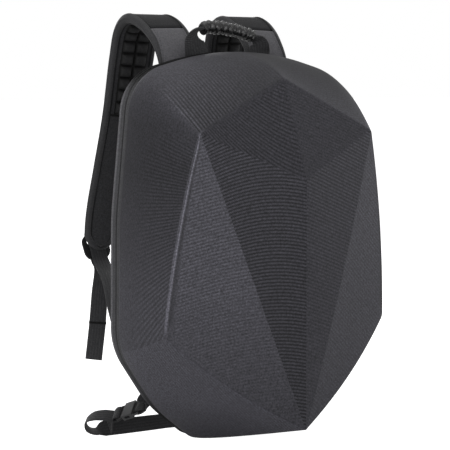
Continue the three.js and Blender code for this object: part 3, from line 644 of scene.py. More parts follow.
def shell_columns():
    """Distances along the rim, even between the corners, with each one's distance from the top middle by the
    shorter way, and its half: 1 on the left, -1 on the right."""
    left = np.concatenate([np.linspace(a, b, n, endpoint=False)
                           for a, b, n in zip(STOPS, STOPS[1:], COLUMNS)])
    walked = np.concatenate([left, [RIM_LENGTH / 2], RIM_LENGTH - left[:0:-1]])
    return walked, np.minimum(walked, RIM_LENGTH - walked), np.where(walked > RIM_LENGTH / 2, -1.0, 1.0)


def mirrored(places, half):
    """Places on the left half, turned over where a column belongs to the right half."""
    return places * np.stack([half, np.ones_like(half), np.ones_like(half)], -1)


def facet_edge(near, half):
    """Corners of the facets' edge joined by runs that bow outward at their middles, by distance from the
    top. The right half is the left one mirrored."""
    edge = np.tile(CHIN, (len(near), 1))
    corners = (BROW, TEMPLE, CHEEK, CHIN)
    for start, stop, a, b, bow in zip(STOPS, STOPS[1:4], corners, corners[1:], BOWS):
        f = ((near - start) / (stop - start))[:, None]
        run = a * (1 - f) + b * f + 4 * f * (1 - f) * bow
        edge = np.where((near >= start)[:, None] & (near < stop)[:, None], run, edge)
    return mirrored(edge, half)


def fold_line(near, half, edge):
    """Where each column crosses the fold from temple to chin. Above the temple there is no fold, and a place
    part of the way to the peak keeps the rows even."""
    down = np.clip((near - STOPS[1]) / (STOPS[3] - STOPS[1]), 0, 1)[:, None]
    line = TEMPLE + (CHIN - TEMPLE) * down + 4 * down * (1 - down) * FOLD_RISE
    share = PEAK_SHARE * np.clip(1 - near / STOPS[1], 0, 1)[:, None]
    return np.where((near < STOPS[1])[:, None], edge * (1 - share) + PEAK * share, mirrored(line, half))


def rounded_fold(before, corner, after, reach):
    """A few rows that round a corner: a quadratic curve from just before it to just after it."""
    def towards(place):
        """A place that far from the corner on the way to another, but not past 0.4 of the way."""
        step = place - corner
        length = np.maximum(np.linalg.norm(step, axis=1, keepdims=True), 1e-6)
        return corner + step * np.minimum(reach / length, 0.4)
    t = np.linspace(0, 1, ROUND_ROWS)[:, None, None]
    return towards(before) * (1 - t) ** 2 + 2 * corner * t * (1 - t) + towards(after) * t**2


def rows_between(first, last, count, ends=False):
    """Even rows between two rows, with the last one too if it is asked for."""
    t = np.linspace(0, 1, count + 2)[1:, None, None]
    rows = first * (1 - t) + last * t
    return rows if ends else rows[:-1]


walked, near, half = shell_columns()
run_places = np.append(rim_middles[:6], RIM_LENGTH / 2)
rim_run = np.interp(near, run_places, np.append(RIM_CORNERS[:, 3], RIM_CORNERS[-1, 3]))
at_rim = rows_at(walked, rim_walked, rim_ring)
start = np.stack([at_rim[:, 0], np.full(len(walked), SHELL_REAR), at_rim[:, 1]], -1)
ahead = start - rim_run[:, None] * [0, 1, 0]
edge = facet_edge(near, half)
fold = fold_line(near, half, edge)
v = np.linspace(0, SIDE_SHARE, SIDE_ROWS)[:, None, None]
side_rows = start * (1 - v) ** 2 + 2 * ahead * v * (1 - v) + edge * v**2
edge_rows = rounded_fold(ahead, edge, fold, EDGE_REACH)
fold_rows = rounded_fold(edge, fold, np.broadcast_to(PEAK, fold.shape), FOLD_REACH)
grid = np.vstack([side_rows, edge_rows, rows_between(edge_rows[-1], fold_rows[0], FACET_ROWS), fold_rows,
                  rows_between(fold_rows[-1], np.broadcast_to(PEAK, fold.shape), PEAK_ROWS, ends=True)])
for _ in range(SOFTENINGS):  # each moves a point half way to the mean of its neighbours in the row
    grid[1:-1] += 0.25 * (np.roll(grid[1:-1], 1, 1) + np.roll(grid[1:-1], -1, 1) - 2 * grid[1:-1])
print("shell rows and columns", grid.shape[:2])

# %% [markdown]
# The moulder pulls one cloth over all the facets, so its ribs lie at a different angle on each. The UV map
# gives every facet two directions of its own, along and across the ribs, in metres. Down the sides the ribs
# spread like a fan, and over the left half of the front they arch. Facet a is the roof, b the side and f the
# underside; on the front, c lies above the temples, e outside the fold and d inside it.

# %% Cloth laid on the facets
RIB_WAYS = {  # along and across the ribs on the left half
    "a": ((0.09, -0.88, -0.46), (0.92, -0.11, 0.38)), "b": ((0, -1, 0), (0, 0, 1)),
    "c": ((0.72, -0.36, -0.6), (0.69, 0.22, 0.69)), "d": ((0.95, -0.31, -0.02), (0, 0, 1)),
    "e": ((0.89, -0.38, 0.25), (0, 0, 1)), "f": ((0.67, 0.02, -0.74), (0.38, -0.87, 0.32))}
RIB_WAYS_RIGHT = {
    "a": ((0.9, 0.4, -0.2), (-0.23, 0.79, 0.56)), "b": ((0, -1, 0), (0, 0, 1)),
    "c": ((0.92, -0.05, -0.39), (0.37, 0.42, 0.83)), "d": ((0.89, 0.29, -0.35), (0.33, 0.11, 0.94)),
    "e": ((0.73, 0.33, -0.6), (0.56, 0.22, 0.8)), "f": ((0.67, -0.02, 0.74), (-0.38, -0.87, 0.32))}


def facet_names(rows, near):
    """The facet that each face of the grid lies on, by its row and its column's stretch."""
    stretch = np.searchsorted(STOPS[1:4], near, side="right")
    row = np.arange(rows - 1)[:, None]
    side = np.array(["a", "b", "f", "f"])[stretch][None]
    middle = np.array(["c", "e", "e", "e"])[stretch][None]
    inner = np.array(["c", "d", "d", "d"])[stretch][None]
    edge_row = SIDE_ROWS + ROUND_ROWS // 2
    fold_row = edge_row + FACET_ROWS + ROUND_ROWS
    return np.where(row >= edge_row, np.where(row >= fold_row, inner, middle), side)


FAN_Y, FAN_Z, FAN_RADIUS = -281 * MM, 74 * MM, 168 * MM
RIB_ARCH = {"c": (-0.38, -3.8), "d": (0.26, 3.6), "e": (0, 1.35)}  # slope at the middle, and bend


def rib_bend(corner, facet, right):
    """How far the ribs leave their straight lines: down the side they are spokes of a fan, whose distance is
    an angle times a radius, and over the left half's front facets they arch as parabolas."""
    x, y, z = np.moveaxis(corner, -1, 0)
    if facet == "b":
        return FAN_RADIUS * np.arctan2(z - FAN_Z, y - FAN_Y) - z
    steep, arch = (0, 0) if right else RIB_ARCH.get(facet, (0, 0))
    return steep * x + arch * x**2


def facet_uv(points, faces, names, right):
    """Lays cloth on each facet: distance along and across the ribs in the facet's own directions."""
    corner = points[faces]
    uv = np.zeros((*faces.shape, 2))
    for side, ways in ((False, RIB_WAYS), (True, RIB_WAYS_RIGHT)):
        for facet, (along, across) in ways.items():
            height = corner @ np.array(across) + rib_bend(corner, facet, side)
            laid = np.stack([corner @ np.array(along), height], -1)
            uv = np.where(((names == facet) & (right == side))[:, None, None], laid, uv)
    return uv


rows, around = grid.shape[:2]
faces = grid_faces(rows, around)
points = grid.reshape(-1, 3) * MM
names = facet_names(rows, near).ravel()
right = np.broadcast_to(half < 0, (rows - 1, around)).ravel()
shell = put_mesh("shell_skin", points, faces, facet_uv(points, faces, names, right))
print("faces on each facet", {facet: int((names == facet).sum()) for facet in RIB_WAYS})

# %% [markdown]
# Two attributes go with the map: how deep the ribs are, and a painted shade that makes each facet lighter or
# darker, standing in for how light falls on it. A table gives each facet's values at a few heights, which is
# easier to correct against a photograph than painting by hand. The ribs die away towards the rim, the brow
# and the shoulders, where the cloth is stretched.

# %% Ribs and painted facet shade
# Painted shade on each facet, lighter or darker by height, standing in for how light falls on it.
PAINTED_FACET_SHADE = {  # heights and tones from the foot to the head of each facet, on the left half
    "a": (150, 0.36, 225, 0.7), "b": (-60, 0.78, 100, 0.35, 155, 0.38, 205, 0.7), "c": (100, 0.49, 200, 0.53),
    "d": (-190, 0.4, 140, 0.57), "e": (-190, 0.55, 60, 1.26), "f": (-220, 0.72, -100, 1.5)}
PAINTED_FACET_SHADE_RIGHT = {
    "a": (150, 0.46, 225, 0.46), "b": (-60, 0.5, 100, 0.5), "c": (100, 0.55, 200, 0.57),
    "d": (-190, 0.57, 140, 0.66), "e": (-190, 0.7, 60, 0.92), "f": (-220, 0.7, -100, 0.8)}
RIB_DEPTH = {  # heights and depths of the ribs from the foot to the head of each facet, on the left half
    "a": (150, 1.0, 225, 0.5), "b": (-60, 0.5, 60, 0.55), "c": (100, 0.62, 200, 0.58),
    "d": (-190, 0.85, 140, 0.8), "e": (-150, 0.2, 20, 0.42), "f": (-220, 0.25, -100, 0.25)}
RIB_DEPTH_RIGHT = {
    "a": (150, 0.1, 225, 0.1), "b": (-60, 0.9, 60, 0.9), "c": (100, 0.25, 200, 0.25),
    "d": (-190, 0.18, 140, 0.64), "e": (-150, 0.2, 20, 0.25), "f": (-220, 0.25, -100, 0.25)}


def by_height(left_table, right_table, facets, right, height):
    """A value for each face, changing evenly between the heights that its facet's row gives."""
    tables = ((False, left_table), (True, right_table))
    chosen = [(facets == facet) & (right == side) for side, table in tables for facet in table]
    values = [np.interp(height, row[::2], row[1::2]) for _, table in tables for row in table.values()]
    return np.select(chosen, values)


def add_attribute(piece, name, domain, values):
    """A number for each point or face of a piece, which its material can read."""
    layer = piece.data.attributes.new(name, "FLOAT", domain)
    layer.data.foreach_set("value", np.asarray(values, np.float32).ravel())


RIM_ROWS = (7, 30)  # rows over which the ribs come up from the rim
ROUND_DEPTH = 0.25  # what is left of the ribs on the rounded edge
SHOULDER_HEIGHTS = (158, 118)
BROW_PLAIN, BROW_REACH = 0.4, (20, 90)
# Painted shade on facet a: on the right darker at the rim and lighter towards the facet's edge, on the left
# lighter away from the middle.
RIGHT_SHOULDER, RIGHT_GAIN = 0.45, 1.15  # tone at the rim, and what the facet's edge adds to it
LEFT_SHOULDER, LEFT_GAIN, LEFT_REACH = 0.72, 0.5, (20, 110)
row = np.arange(rows)[:, None]
middle = points[faces].mean(1) / MM
from_middle = np.abs(middle[:, 0])


def on_faces(by_row):
    """A value for each row of the grid's faces, spread over the row."""
    return np.broadcast_to(by_row, (rows - 1, around)).ravel()


rounded = (row[:-1] >= SIDE_ROWS) & (row[:-1] < SIDE_ROWS + ROUND_ROWS)
from_rim = on_faces(smooth(row[:-1], *RIM_ROWS) * np.where(rounded, ROUND_DEPTH, 1))
high_side = np.where(names == "b", smooth(middle[:, 2], *SHOULDER_HEIGHTS), 1)
by_brow = np.where(names == "a", BROW_PLAIN + (1 - BROW_PLAIN) * smooth(from_middle, *BROW_REACH), 1)
depth = by_height(RIB_DEPTH, RIB_DEPTH_RIGHT, names, right, middle[:, 2])
add_attribute(shell, "ribs", "FACE", depth * from_rim * high_side * by_brow)
# Painted shade: each face's tone from its facet's table, and on facet a from its own gradient.
painted_facet_shade = by_height(PAINTED_FACET_SHADE, PAINTED_FACET_SHADE_RIGHT, names, right, middle[:, 2])
right_tone = RIGHT_SHOULDER + RIGHT_GAIN * on_faces(row[:-1] / SIDE_ROWS) ** 2
left_tone = LEFT_SHOULDER + LEFT_GAIN * smooth(from_middle, *LEFT_REACH)
add_attribute(shell, "painted_facet_shade", "FACE", painted_facet_shade * np.where(names == "a", np.where(right, right_tone, left_tone), 1))
print("tones from", round(float(painted_facet_shade.min()), 2), "to", round(float(painted_facet_shade.max()), 2))

# %% [markdown]
# Along the folds a painted highlight lightens the cloth: along the facets' edge down the side, along the
# crease that falls from the shoulder, and softly below that crease; painted shade darkens the edge's last
# row.
# A third attribute holds this tone at each point. Then the skin gets the thickness of its wall.

# %% Painted fold highlights and wall
PLAIN_TONE = 0.3
EDGE_TONES = np.array([0.1, 1.2, 1.35, 0.1, -0.27])  # added on the rows of the rounded edge
CREASE_TONE, CREASE_HALF = 0.32, 7
BELOW_TONE, BELOW_REACH = 0.22, 42
CREASE_ROWS = (12, 34)
WALL = 3 * MM
past_shoulder = near - shoulder_at_rim
# Painted highlight along the facets' edge and the crease, and painted shade on the edge's last row.
ridge = np.full(grid.shape[:2], PLAIN_TONE)
down_side = smooth(past_shoulder, -8, 8) * smooth(near, hip_at_rim, hip_at_rim - 30)
ridge[SIDE_ROWS:SIDE_ROWS + ROUND_ROWS] += EDGE_TONES[:, None] * down_side
crease = CREASE_TONE * np.exp(-(past_shoulder / CREASE_HALF) ** 2) * (row < SIDE_ROWS + 3)
below = BELOW_TONE * np.exp(-(past_shoulder / BELOW_REACH) ** 2) * (past_shoulder > 0) * (row < SIDE_ROWS)
ridge += (crease + below) * smooth(row, *CREASE_ROWS)
add_attribute(shell, "ridge", "POINT", ridge)


def merge_doubles(mesh, reach=1e-5):
    """Joins points that lie on each other, and with them the poles of a grid."""
    shape = bmesh.new()
    shape.from_mesh(mesh)
    bmesh.ops.remove_doubles(shape, verts=shape.verts, dist=reach)
    shape.to_mesh(mesh)
    shape.free()


merge_doubles(shell.data)
wall = shell.modifiers.new("wall", "SOLIDIFY")
wall.thickness = WALL
wall.offset = -1
finish_piece(shell, SHELL_CLOTH, "shell_fabric", "shell")
print("shell points", len(shell.data.vertices))

# %% [markdown]
# Round the rim run a tape, the zip's coil, a second tape and a corded piping. Each is a small closed section
# carried round the outline. The coil's section swells and shrinks along its way, one swelling for each turn
# of the coil, so that it catches the light as a row of teeth. The tape and the piping carry painted light and
# shade, paler where the rim faces left and dark along the top, the bottom and the right; an attribute holds
# it.

# %% Zip and piping
# Painted light and shade: how far the rim faces left sets how light its tape and piping are.
PAINTED_LIGHT_FACING = (0.62, 0.98)  # how far a place faces left, from plain to upright


def rim_band(name, section, count, material, slot, node, swell=None):
    """A ring from a closed section of (inset, y) pairs carried round the rim; swell scales the section
    about its middle at each place."""
    xz, out, walk = even_outline(RIM_CORNERS, count)
    section = np.asarray(section, float)
    middle = section.mean(0)
    shaped = np.broadcast_to(section, (count, *section.shape))
    if swell is not None:
        shaped = middle + (section - middle) * swell(walk)[:, None, None]
    flat = xz[:, None] - out[:, None] * shaped[..., :1]
    points = np.stack([flat[..., 0], shaped[..., 1], flat[..., 1]], -1)
    uv = np.stack(np.broadcast_arrays(walked_along(section)[None], walk[:, None]), -1) * MM
    faces = grid_faces(count, len(section), closed_rows=True)
    piece = put_mesh(name, points.reshape(-1, 3) * MM, faces, uv.reshape(-1, 2))
    # Painted light and shade on the tape and piping, lit where the rim faces left.
    upright = smooth(-out[:, :1], *PAINTED_LIGHT_FACING)
    add_attribute(piece, "upright", "POINT", np.broadcast_to(upright, shaped.shape[:2]))
    finish_piece(piece, material, slot, node)


def soft_strip(outer, inner, front, rear, points=16):
    """A strip's section as a squared oval between two insets and two depths."""
    shape = oval(np.array([(rear - front) / 2]), np.array([(inner - outer) / 2]), points, (0.35, 0.6))[0]
    return np.stack([(outer + inner) / 2 + shape[:, 1], (front + rear) / 2 + shape[:, 0]], -1)


TOOTH, TOOTH_SWELL = 1.9, 0.18
RIM_STEPS, COIL_STEPS, CORD_STEPS = 360, 2960, 480
CORD_RADIUS, CORD_Y = 3, -15.4


def teeth(walk):
    """A sine along the coil with one swelling for each tooth, never above 1."""
    return 1 - TOOTH_SWELL + TOOTH_SWELL * np.sin(2 * np.pi * walk / TOOTH)


rim_band("zip_tape_front_cloth", soft_strip(0.5, 2.3, -38.4, -29.6), RIM_STEPS,
         TAPE_CLOTH, "zip_tape", "zip_tape_front")
rim_band("zip_tape_rear_cloth", soft_strip(0.5, 2.3, -26.4, -18.4), RIM_STEPS,
         TAPE_CLOTH, "zip_tape", "zip_tape_rear")
rim_band("zip_coil_teeth", soft_strip(0.9, 2.9, -30.0, -26.0, 8), COIL_STEPS,
         COIL_PLASTIC, "zip_coil", "zip_coil", swell=teeth)
tube = np.linspace(0, 2 * np.pi, 18, endpoint=False)
cord = np.stack([CORD_RADIUS - CORD_RADIUS * np.cos(tube), CORD_Y + CORD_RADIUS * np.sin(tube)], -1)
rim_band("rim_piping_cord", cord, CORD_STEPS, PIPING_CLOTH, "piping", "rim_piping")
print("zip teeth", round(RIM_LENGTH / TOOTH))

# %% [markdown]
# The wearer's side is a flat cloth panel with a cushion sewn on it. The panel is a plate with a rolled edge.
# The cushion is simulated: a flat bag of cloth is sewn down along its edge and along a few channels, then
# blown up from inside, so that it swells and puckers as foam under mesh does.

# %% Back panel
def plate_rows(half, count, profile):
    """Rings of an outline drawn in and set back along a profile of (inset, y) pairs."""
    xz, out, _ = even_outline(half, count)
    profile = np.asarray(profile, float)
    flat = xz[None] - out[None] * profile[:, :1, None]
    depth = np.broadcast_to(profile[:, 1:], flat.shape[:2])
    return np.stack([flat[..., 0], depth, flat[..., 1]], -1)


def box_uv(piece):
    """Lays cloth flat on each face along the two axes that it faces least away from, in metres."""
    mesh = piece.data
    count = len(mesh.loops)
    normal = np.empty(len(mesh.polygons) * 3, np.float32)
    mesh.polygons.foreach_get("normal", normal)
    total = np.empty(len(mesh.polygons), np.int32)
    mesh.polygons.foreach_get("loop_total", total)
    corner = np.empty(count, np.int32)
    mesh.loops.foreach_get("vertex_index", corner)
    points = np.empty(len(mesh.vertices) * 3, np.float32)
    mesh.vertices.foreach_get("co", points)
    at = points.reshape(-1, 3)[corner]
    facing = np.repeat(np.abs(normal.reshape(-1, 3)).argmax(1), total)
    first = np.where(facing == 0, at[:, 1], at[:, 0])
    second = np.where(facing == 2, at[:, 1], at[:, 2])
    layer = mesh.uv_layers.new(name=CLOTH_MAP)
    layer.data.foreach_set("uv", np.stack([first, second], -1).astype(np.float32).ravel())


def closed_plate(name, rings):
    """A closed plate from rings, each end filled by joining opposite points."""
    piece = put_mesh(name, rings.reshape(-1, 3) * MM, capped_faces(*rings.shape[:2]))
    box_uv(piece)
    return piece


PANEL_PROFILE = [(40, -17.7), (6.6, -17.7), (6.2, -15), (6.4, -13), (8.5, -12.1), (40, -12.0), (90, -12.0)]
panel = closed_plate("back_panel_cloth", plate_rows(RIM_CORNERS, RIM_STEPS, PANEL_PROFILE))
finish_piece(panel, PANEL_CLOTH, "back_cloth", "back_panel")
print("panel points", len(panel.data.vertices))

# %% [markdown]
# The cushion needs Blender's cloth solver: a pressure inside, stiff threads and points that are held. A
# formula would give even bulges; the solver gives slack in the corners.

# %% Back cushion
PAD_CORNERS = np.array([  # x, z, radius
    [0, 192, 400], [-120, 179, 40], [-124, -112, 60], [-50, -216, 34]], float)
PAD_FOOT, PAD_HEAD = -214.5, 187
CUSHION_ROWS, CUSHION_COLUMNS = 102, 62
CUSHION_SEAMS = np.array([34, 60, 82])
CHANNEL_HALF, HEM_WIDE = 9, 0.5
PUFFED_Y, SEWN_Y, HEM_Y, UNDER_Y = -5.5, -8.8, -10, -11.6
PRESSURE, FRAMES, MOST_RISE = 4, 20, 7 * MM


def blow_up(piece, pinned, pressure, frames):
    """Runs cloth with a pressure inside it, holds the pinned points, and keeps the last shape."""
    group = piece.vertex_groups.new(name="sewn")
    group.add(np.flatnonzero(pinned).tolist(), 1.0, "REPLACE")
    swell = piece.modifiers.new("swell", "CLOTH")
    settings = swell.settings
    settings.quality = 6
    settings.mass = 0.3
    settings.vertex_group_mass = "sewn"
    settings.use_pressure = True
    settings.uniform_pressure_force = pressure
    settings.tension_stiffness = 40
    settings.compression_stiffness = 40
    settings.bending_stiffness = 0.6
    settings.effector_weights.gravity = 0
    swell.point_cache.frame_end = frames
    scene = bpy.context.scene
    for step in range(1, frames + 1):
        scene.frame_set(step)
    depsgraph = bpy.context.evaluated_depsgraph_get()
    points = np.empty(len(piece.data.vertices) * 3, np.float32)
    piece.evaluated_get(depsgraph).data.vertices.foreach_get("co", points)
    piece.modifiers.remove(swell)
    scene.frame_set(1)
    return points.reshape(-1, 3)


def cushion_grid(rows, columns):
    """Rows at even heights, each spread evenly between the cushion's left and right edges. Gives x, z and
    the distance in from the nearest edge."""
    ring, _, walked, _ = rounded_outline(PAD_CORNERS)
    left = ring[walked <= walked[-1] / 2]
    z = np.linspace(PAD_FOOT, PAD_HEAD, rows)
    half = -np.interp(z, left[::-1, 1], left[::-1, 0])
    x = half[:, None] * np.linspace(-1, 1, columns)
    inside = np.minimum(half[:, None] - np.abs(x), np.minimum(z - PAD_FOOT, PAD_HEAD - z)[:, None])
    return x, np.repeat(z[:, None], columns, 1), inside


pad_x, pad_z, pad_inside = cushion_grid(CUSHION_ROWS, CUSHION_COLUMNS)
low_places = (np.abs(pad_x) < CHANNEL_HALF) | (pad_inside < HEM_WIDE)
low_places[CUSHION_SEAMS] = True
pad_y = np.where(low_places, SEWN_Y, PUFFED_Y)
pad_y[pad_inside < HEM_WIDE] = HEM_Y
upper = np.stack([pad_x, pad_y, pad_z], -1).reshape(-1, 3)
lower = np.stack([pad_x, np.full_like(pad_x, UNDER_Y), pad_z], -1).reshape(-1, 3)
flat = np.vstack([upper, lower]) * MM
cell = np.arange(CUSHION_ROWS * CUSHION_COLUMNS).reshape(CUSHION_ROWS, CUSHION_COLUMNS)
quads = np.stack([cell[:-1, :-1], cell[:-1, 1:], cell[1:, 1:], cell[1:, :-1]], -1).reshape(-1, 4)
border = np.concatenate([cell[0, :-1], cell[:-1, -1], cell[-1, :0:-1], cell[:0:-1, 0]])
walls = np.stack([border, border + cell.size, np.roll(border, -1) + cell.size, np.roll(border, -1)], -1)
cushion = put_mesh("back_cushion", flat, np.vstack([quads, quads[:, ::-1] + cell.size, walls]))
box_uv(cushion)
sewn_down = np.concatenate([low_places.ravel(), np.ones(cell.size, bool)])
moved = blow_up(cushion, sewn_down, PRESSURE, FRAMES) - flat
reach = np.linalg.norm(moved, axis=1, keepdims=True)
shaped = flat + moved * np.minimum(1, MOST_RISE / np.maximum(reach, 1e-9))
cushion.data.vertices.foreach_set("co", shaped.astype(np.float32).ravel())
cushion.data.update()
print("cushion rose by up to mm", round(float(reach.max() / MM), 2))
smoother = cushion.modifiers.new("smoother", "SUBSURF")
smoother.levels = smoother.render_levels = 1
finish_piece(cushion, BACK_MESH, "back_mesh", "back_pad")

# %% [markdown]
# A shoulder strap rises from the top of the back, bends over and falls to a round tip. Its root is a smooth
# yoke, the rest is cloth over foam. Both are crowned sections carried along one rail; the width follows a
# half circle at the tip. Everything on the strap is worked out for the right side and mirrored.

# %% Strap rail
STRAP = np.array([  # x, y, z, width, thickness
    [64, -5.9, 202, 57, 2.6], [64, -4.2, 226, 58, 4], [64.5, 14, 253, 60, 8], [67, 48, 276.5, 64, 11],
    [70, 75, 283, 65, 12], [71, 99, 269, 64, 12], [73, 112, 230, 64, 12], [79, 124, 162, 61, 12],
    [91, 137, 90, 56, 11], [103, 142, 38, 49.5, 10], [110.5, 139, 4, 45, 9.4], [113, 135.3, -18, 43, 9]])
SIDEWAYS = np.array([1.0, 0, 0])
strap = rail_through(STRAP[:, :3] * MM, np.tile(SIDEWAYS, (len(STRAP), 1)), STRAP[:, 3:] * MM, 30)
STRAP_LENGTH = strap.distance[-1]
TIP_RADIUS = STRAP[-1, 3] / 2 * MM
STRAIGHT = STRAP_LENGTH - TIP_RADIUS
SEAM_STEP, SEAM_STEPS = 16 * MM, 5
SEAM = SEAM_STEPS * STRAIGHT / round(STRAIGHT / SEAM_STEP)
EDGE_WALL = 1.5 * MM
NARROWEST = 1.2 * MM
END_DEPTH = 0.55  # of the full thickness, left at a piece's end
print("strap length mm", round(STRAP_LENGTH / MM, 1), "seam at", round(SEAM / MM, 1))


def strap_half(rail, places):
    """Half the cushion's width: the strap's own half width less its binding, narrowed at the tip as the
    square root of one less the square of the way round it."""
    way = np.clip((places - STRAIGHT) / TIP_RADIUS, 0, 0.9985)
    return np.maximum(NARROWEST, (rail.values[:, 0] / 2 - EDGE_WALL) * np.sqrt(1 - way**2))


def strap_places(start, stop, step=3.0):
    """Distances along the strap, even on its length and closer round the tip."""
    turn = np.arcsin(np.clip((stop - STRAIGHT) / TIP_RADIUS, 0, 1))
    along = np.arange(start, min(stop, STRAIGHT), step * MM)
    tip = STRAIGHT + TIP_RADIUS * np.sin(np.linspace(0, turn, 22)) if turn > 0 else np.array([stop])
    return np.concatenate([along[along < tip[0] - 0.5 * MM], tip])


def end_round(places, start, stop, over):
    """One along the piece, falling as a quarter ellipse over a short length at each end."""
    near = np.clip(np.minimum(places - start, stop - places) / over, 0, 1)
    return END_DEPTH + (1 - END_DEPTH) * np.sqrt(1 - (1 - near) ** 2)


# %% [markdown]
# The yoke and the pad are the same oval section with different cloths, meeting at a seam. Foam keeps their
# form, so they come from a formula: a squared oval, pinched at each end, with a slow swelling along it.

# %% Strap yoke and pad
CROWN = (0.34, 0.46)
GROOVE_SHADE_INSET, GROOVE_SHADE_HALF = 6.2 * MM, 1.2 * MM
PINCH, SEAM_GAP = 4 * MM, 0.3 * MM
PUFF, PUFF_WAVE = 0.04, 23 * MM
CUSHION_POINTS = 60


def strap_body(name, start, stop, material, slot, node, puff):
    """The strap's cushion between two distances, an oval section that pinches in at its ends, but not at the
    strap's tip, and swells along it by a slow sine. One attribute carries painted shade in the groove beside
    the binding; another marks the body side, whose cloth is made lighter."""
    places = strap_places(start, stop)
    rail = strap.between(places)
    half = strap_half(rail, places)
    pinched_end = np.inf if stop > STRAIGHT else stop
    swelling = 1 + puff * np.sin(places / PUFF_WAVE)
    deep = rail.values[:, 1] / 2 * end_round(places, start, pinched_end, PINCH) * swelling
    section = oval(half, deep, CUSHION_POINTS, CROWN)
    piece = sweep(name + "_right", rail, section)
    inset = half[:, None] - np.abs(section[..., 0])
    # Painted shade: a dark band in the groove beside the binding.
    add_attribute(piece, "tuck", "POINT", np.exp(-((inset - GROOVE_SHADE_INSET) / GROOVE_SHADE_HALF) ** 2))
    add_attribute(piece, "body_side", "POINT", section[..., 1] > 0)
    return finish_pair(piece, material, slot, node)


yokes = strap_body("yoke_cushion", 0, SEAM, YOKE_CLOTH, "yoke_cloth", "strap_yoke", 0)
pads = strap_body("strap_cushion", SEAM + SEAM_GAP, STRAP_LENGTH, STRAP_CLOTH, "strap_cloth", "strap_pad",
                  PUFF)
print("strap cushions", [p.name for p in (*yokes, *pads)])

# %% [markdown]
# On the body side the strap has two columns of small cushions with deep grooves between them. Each is a
# pillow: one less a power of the way from its middle, in both directions, under a root. All of them together
# are one height over a grid.

# %% Cushioned lining
CELLS = {"start": 136, "end": 268, "rows": 8, "low": 2.3, "high": 7.0, "inset": 13.4, "sunk": 1.2}
CELL_FLAT, CELL_POWER = 0.86, 2.4


def pillow(f):
    """Height of a pillow at a fraction across it, from 0 at both seams to 1 over most of its middle."""
    return np.sqrt(1 - np.minimum(1, np.abs(2 * (f % 1) - 1) / CELL_FLAT) ** CELL_POWER)


def lining():
    """Two columns of pillows on the strap's body side: the product of a pillow across and a pillow along
    raises the upper layer over a floor sunk into the cushion."""
    places = np.linspace(CELLS["start"], CELLS["end"], CELLS["rows"] * 20 + 1) * MM
    rail = strap.between(places)
    u = np.linspace(0, 2, 61)
    v = (places / MM - CELLS["start"]) / (CELLS["end"] - CELLS["start"]) * CELLS["rows"]
    half = rail.values[:, 0] / 2 - CELLS["inset"] * MM
    floor = rail.values[:, 1] / 2 - CELLS["sunk"] * MM
    rise = pillow(u)[None] * pillow(v)[:, None]
    height = (CELLS["low"] + (CELLS["high"] - CELLS["low"]) * rise) * MM
    over = np.stack([half[:, None] * (1 - u), floor[:, None] + height], -1)
    under = np.stack([over[..., 0], np.broadcast_to(floor[:, None], over.shape[:2])], -1)[:, ::-1]
    piece = sweep("strap_cells_right", rail, np.concatenate([over, under], 1))
    # Painted shade in the grooves between the cells and painted light on their tops, by how far each point is
    # raised.
    add_attribute(piece, "raised", "POINT", np.concatenate([rise, 0 * rise], 1))
    return piece


for piece in finish_pair(lining(), STRAP_MESH, "strap_mesh", "strap_lining"):
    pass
print("cells each side", CELLS["rows"] * 2)

# %% [markdown]
# A folded tape binds the strap's raw edges, down one edge, round the tip and up the other. The tape hugs the
# crowned cushion, so its section follows the cushion's own oval.

# %% Binding tape
GRIP_OUT = np.array([-5.6, -4.6, -3.5, -2.4, -1.4, -0.6, 0.3, 1.0, 1.35])
BINDING_START = 16 * MM
TAPE_OVER, TAPE_UNDER, TAPE_LEAST = 0.8 * MM, 0.5 * MM, 0.1 * MM


def crown_at(s, half=26.0):
    """Height of the cushion's oval, from 0 to 1, at a distance in from its edge."""
    inside = np.clip(1 + s / half, 0, 1) ** (2 / CROWN[0])
    return np.maximum(1 - inside, 0.0) ** (CROWN[1] / 2)


def edge_walk():
    """The strap's edge as one rail: out along one side, round the tip and back along the other."""
    places = strap_places(BINDING_START, STRAP_LENGTH)
    rail = strap.between(places)
    half = strap_half(rail, places)[:, None]
    there, back = rail.at - rail.side * half, (rail.at + rail.side * half)[::-1]
    at = np.vstack([there, back])
    normal = np.vstack([rail.normal, rail.normal[::-1]])
    thick = np.concatenate([rail.values[:, 1], rail.values[::-1, 1]])
    outward = np.cross(np.gradient(at, axis=0), normal)
    return Rail(at, outward, thick[:, None])


def lip_of(rail):
    """How much of the tape's width lies on the cushion: all of it, and half where the strap is thin."""
    return np.clip(rail.values[:, :1] / (8 * MM), 0.5, 1)


def binding(rail):
    """A tape folded round the edge: an outer layer just over the cushion's oval and an inner one just under
    it, on both faces, closing in outside the edge."""
    deep = rail.values[:, :1] / 2
    s = np.where(GRIP_OUT < 0, GRIP_OUT * lip_of(rail), GRIP_OUT) * MM
    rise = np.where(GRIP_OUT < 0, crown_at(GRIP_OUT), np.interp(GRIP_OUT, [0, 1.35], [0.42, 0.1]))
    outer = deep * rise + TAPE_OVER * (GRIP_OUT < 1)
    inner = np.maximum(deep * rise - TAPE_UNDER, TAPE_LEAST)
    tuck = np.minimum(s, -0.2 * MM)
    top = np.stack([s, outer], -1)
    bottom = np.stack([s, -outer], -1)[:, ::-1]
    hidden_bottom = np.stack([tuck, -inner], -1)
    hidden_top = np.stack([tuck, inner], -1)[:, ::-1]
    return sweep("binding_right", rail, np.concatenate([top, bottom, hidden_bottom, hidden_top], 1))


binding_rail = edge_walk()
finish_pair(binding(binding_rail), BINDING_TAPE, "binding_tape", "strap_binding")
print("binding length mm", round(binding_rail.distance[-1] / MM, 1))

# %% [markdown]
# Rows of stitches hold the tape. A stitch is a tiny lozenge, six points and eight faces, and hundreds of them
# come from one array of places at even steps of a path.

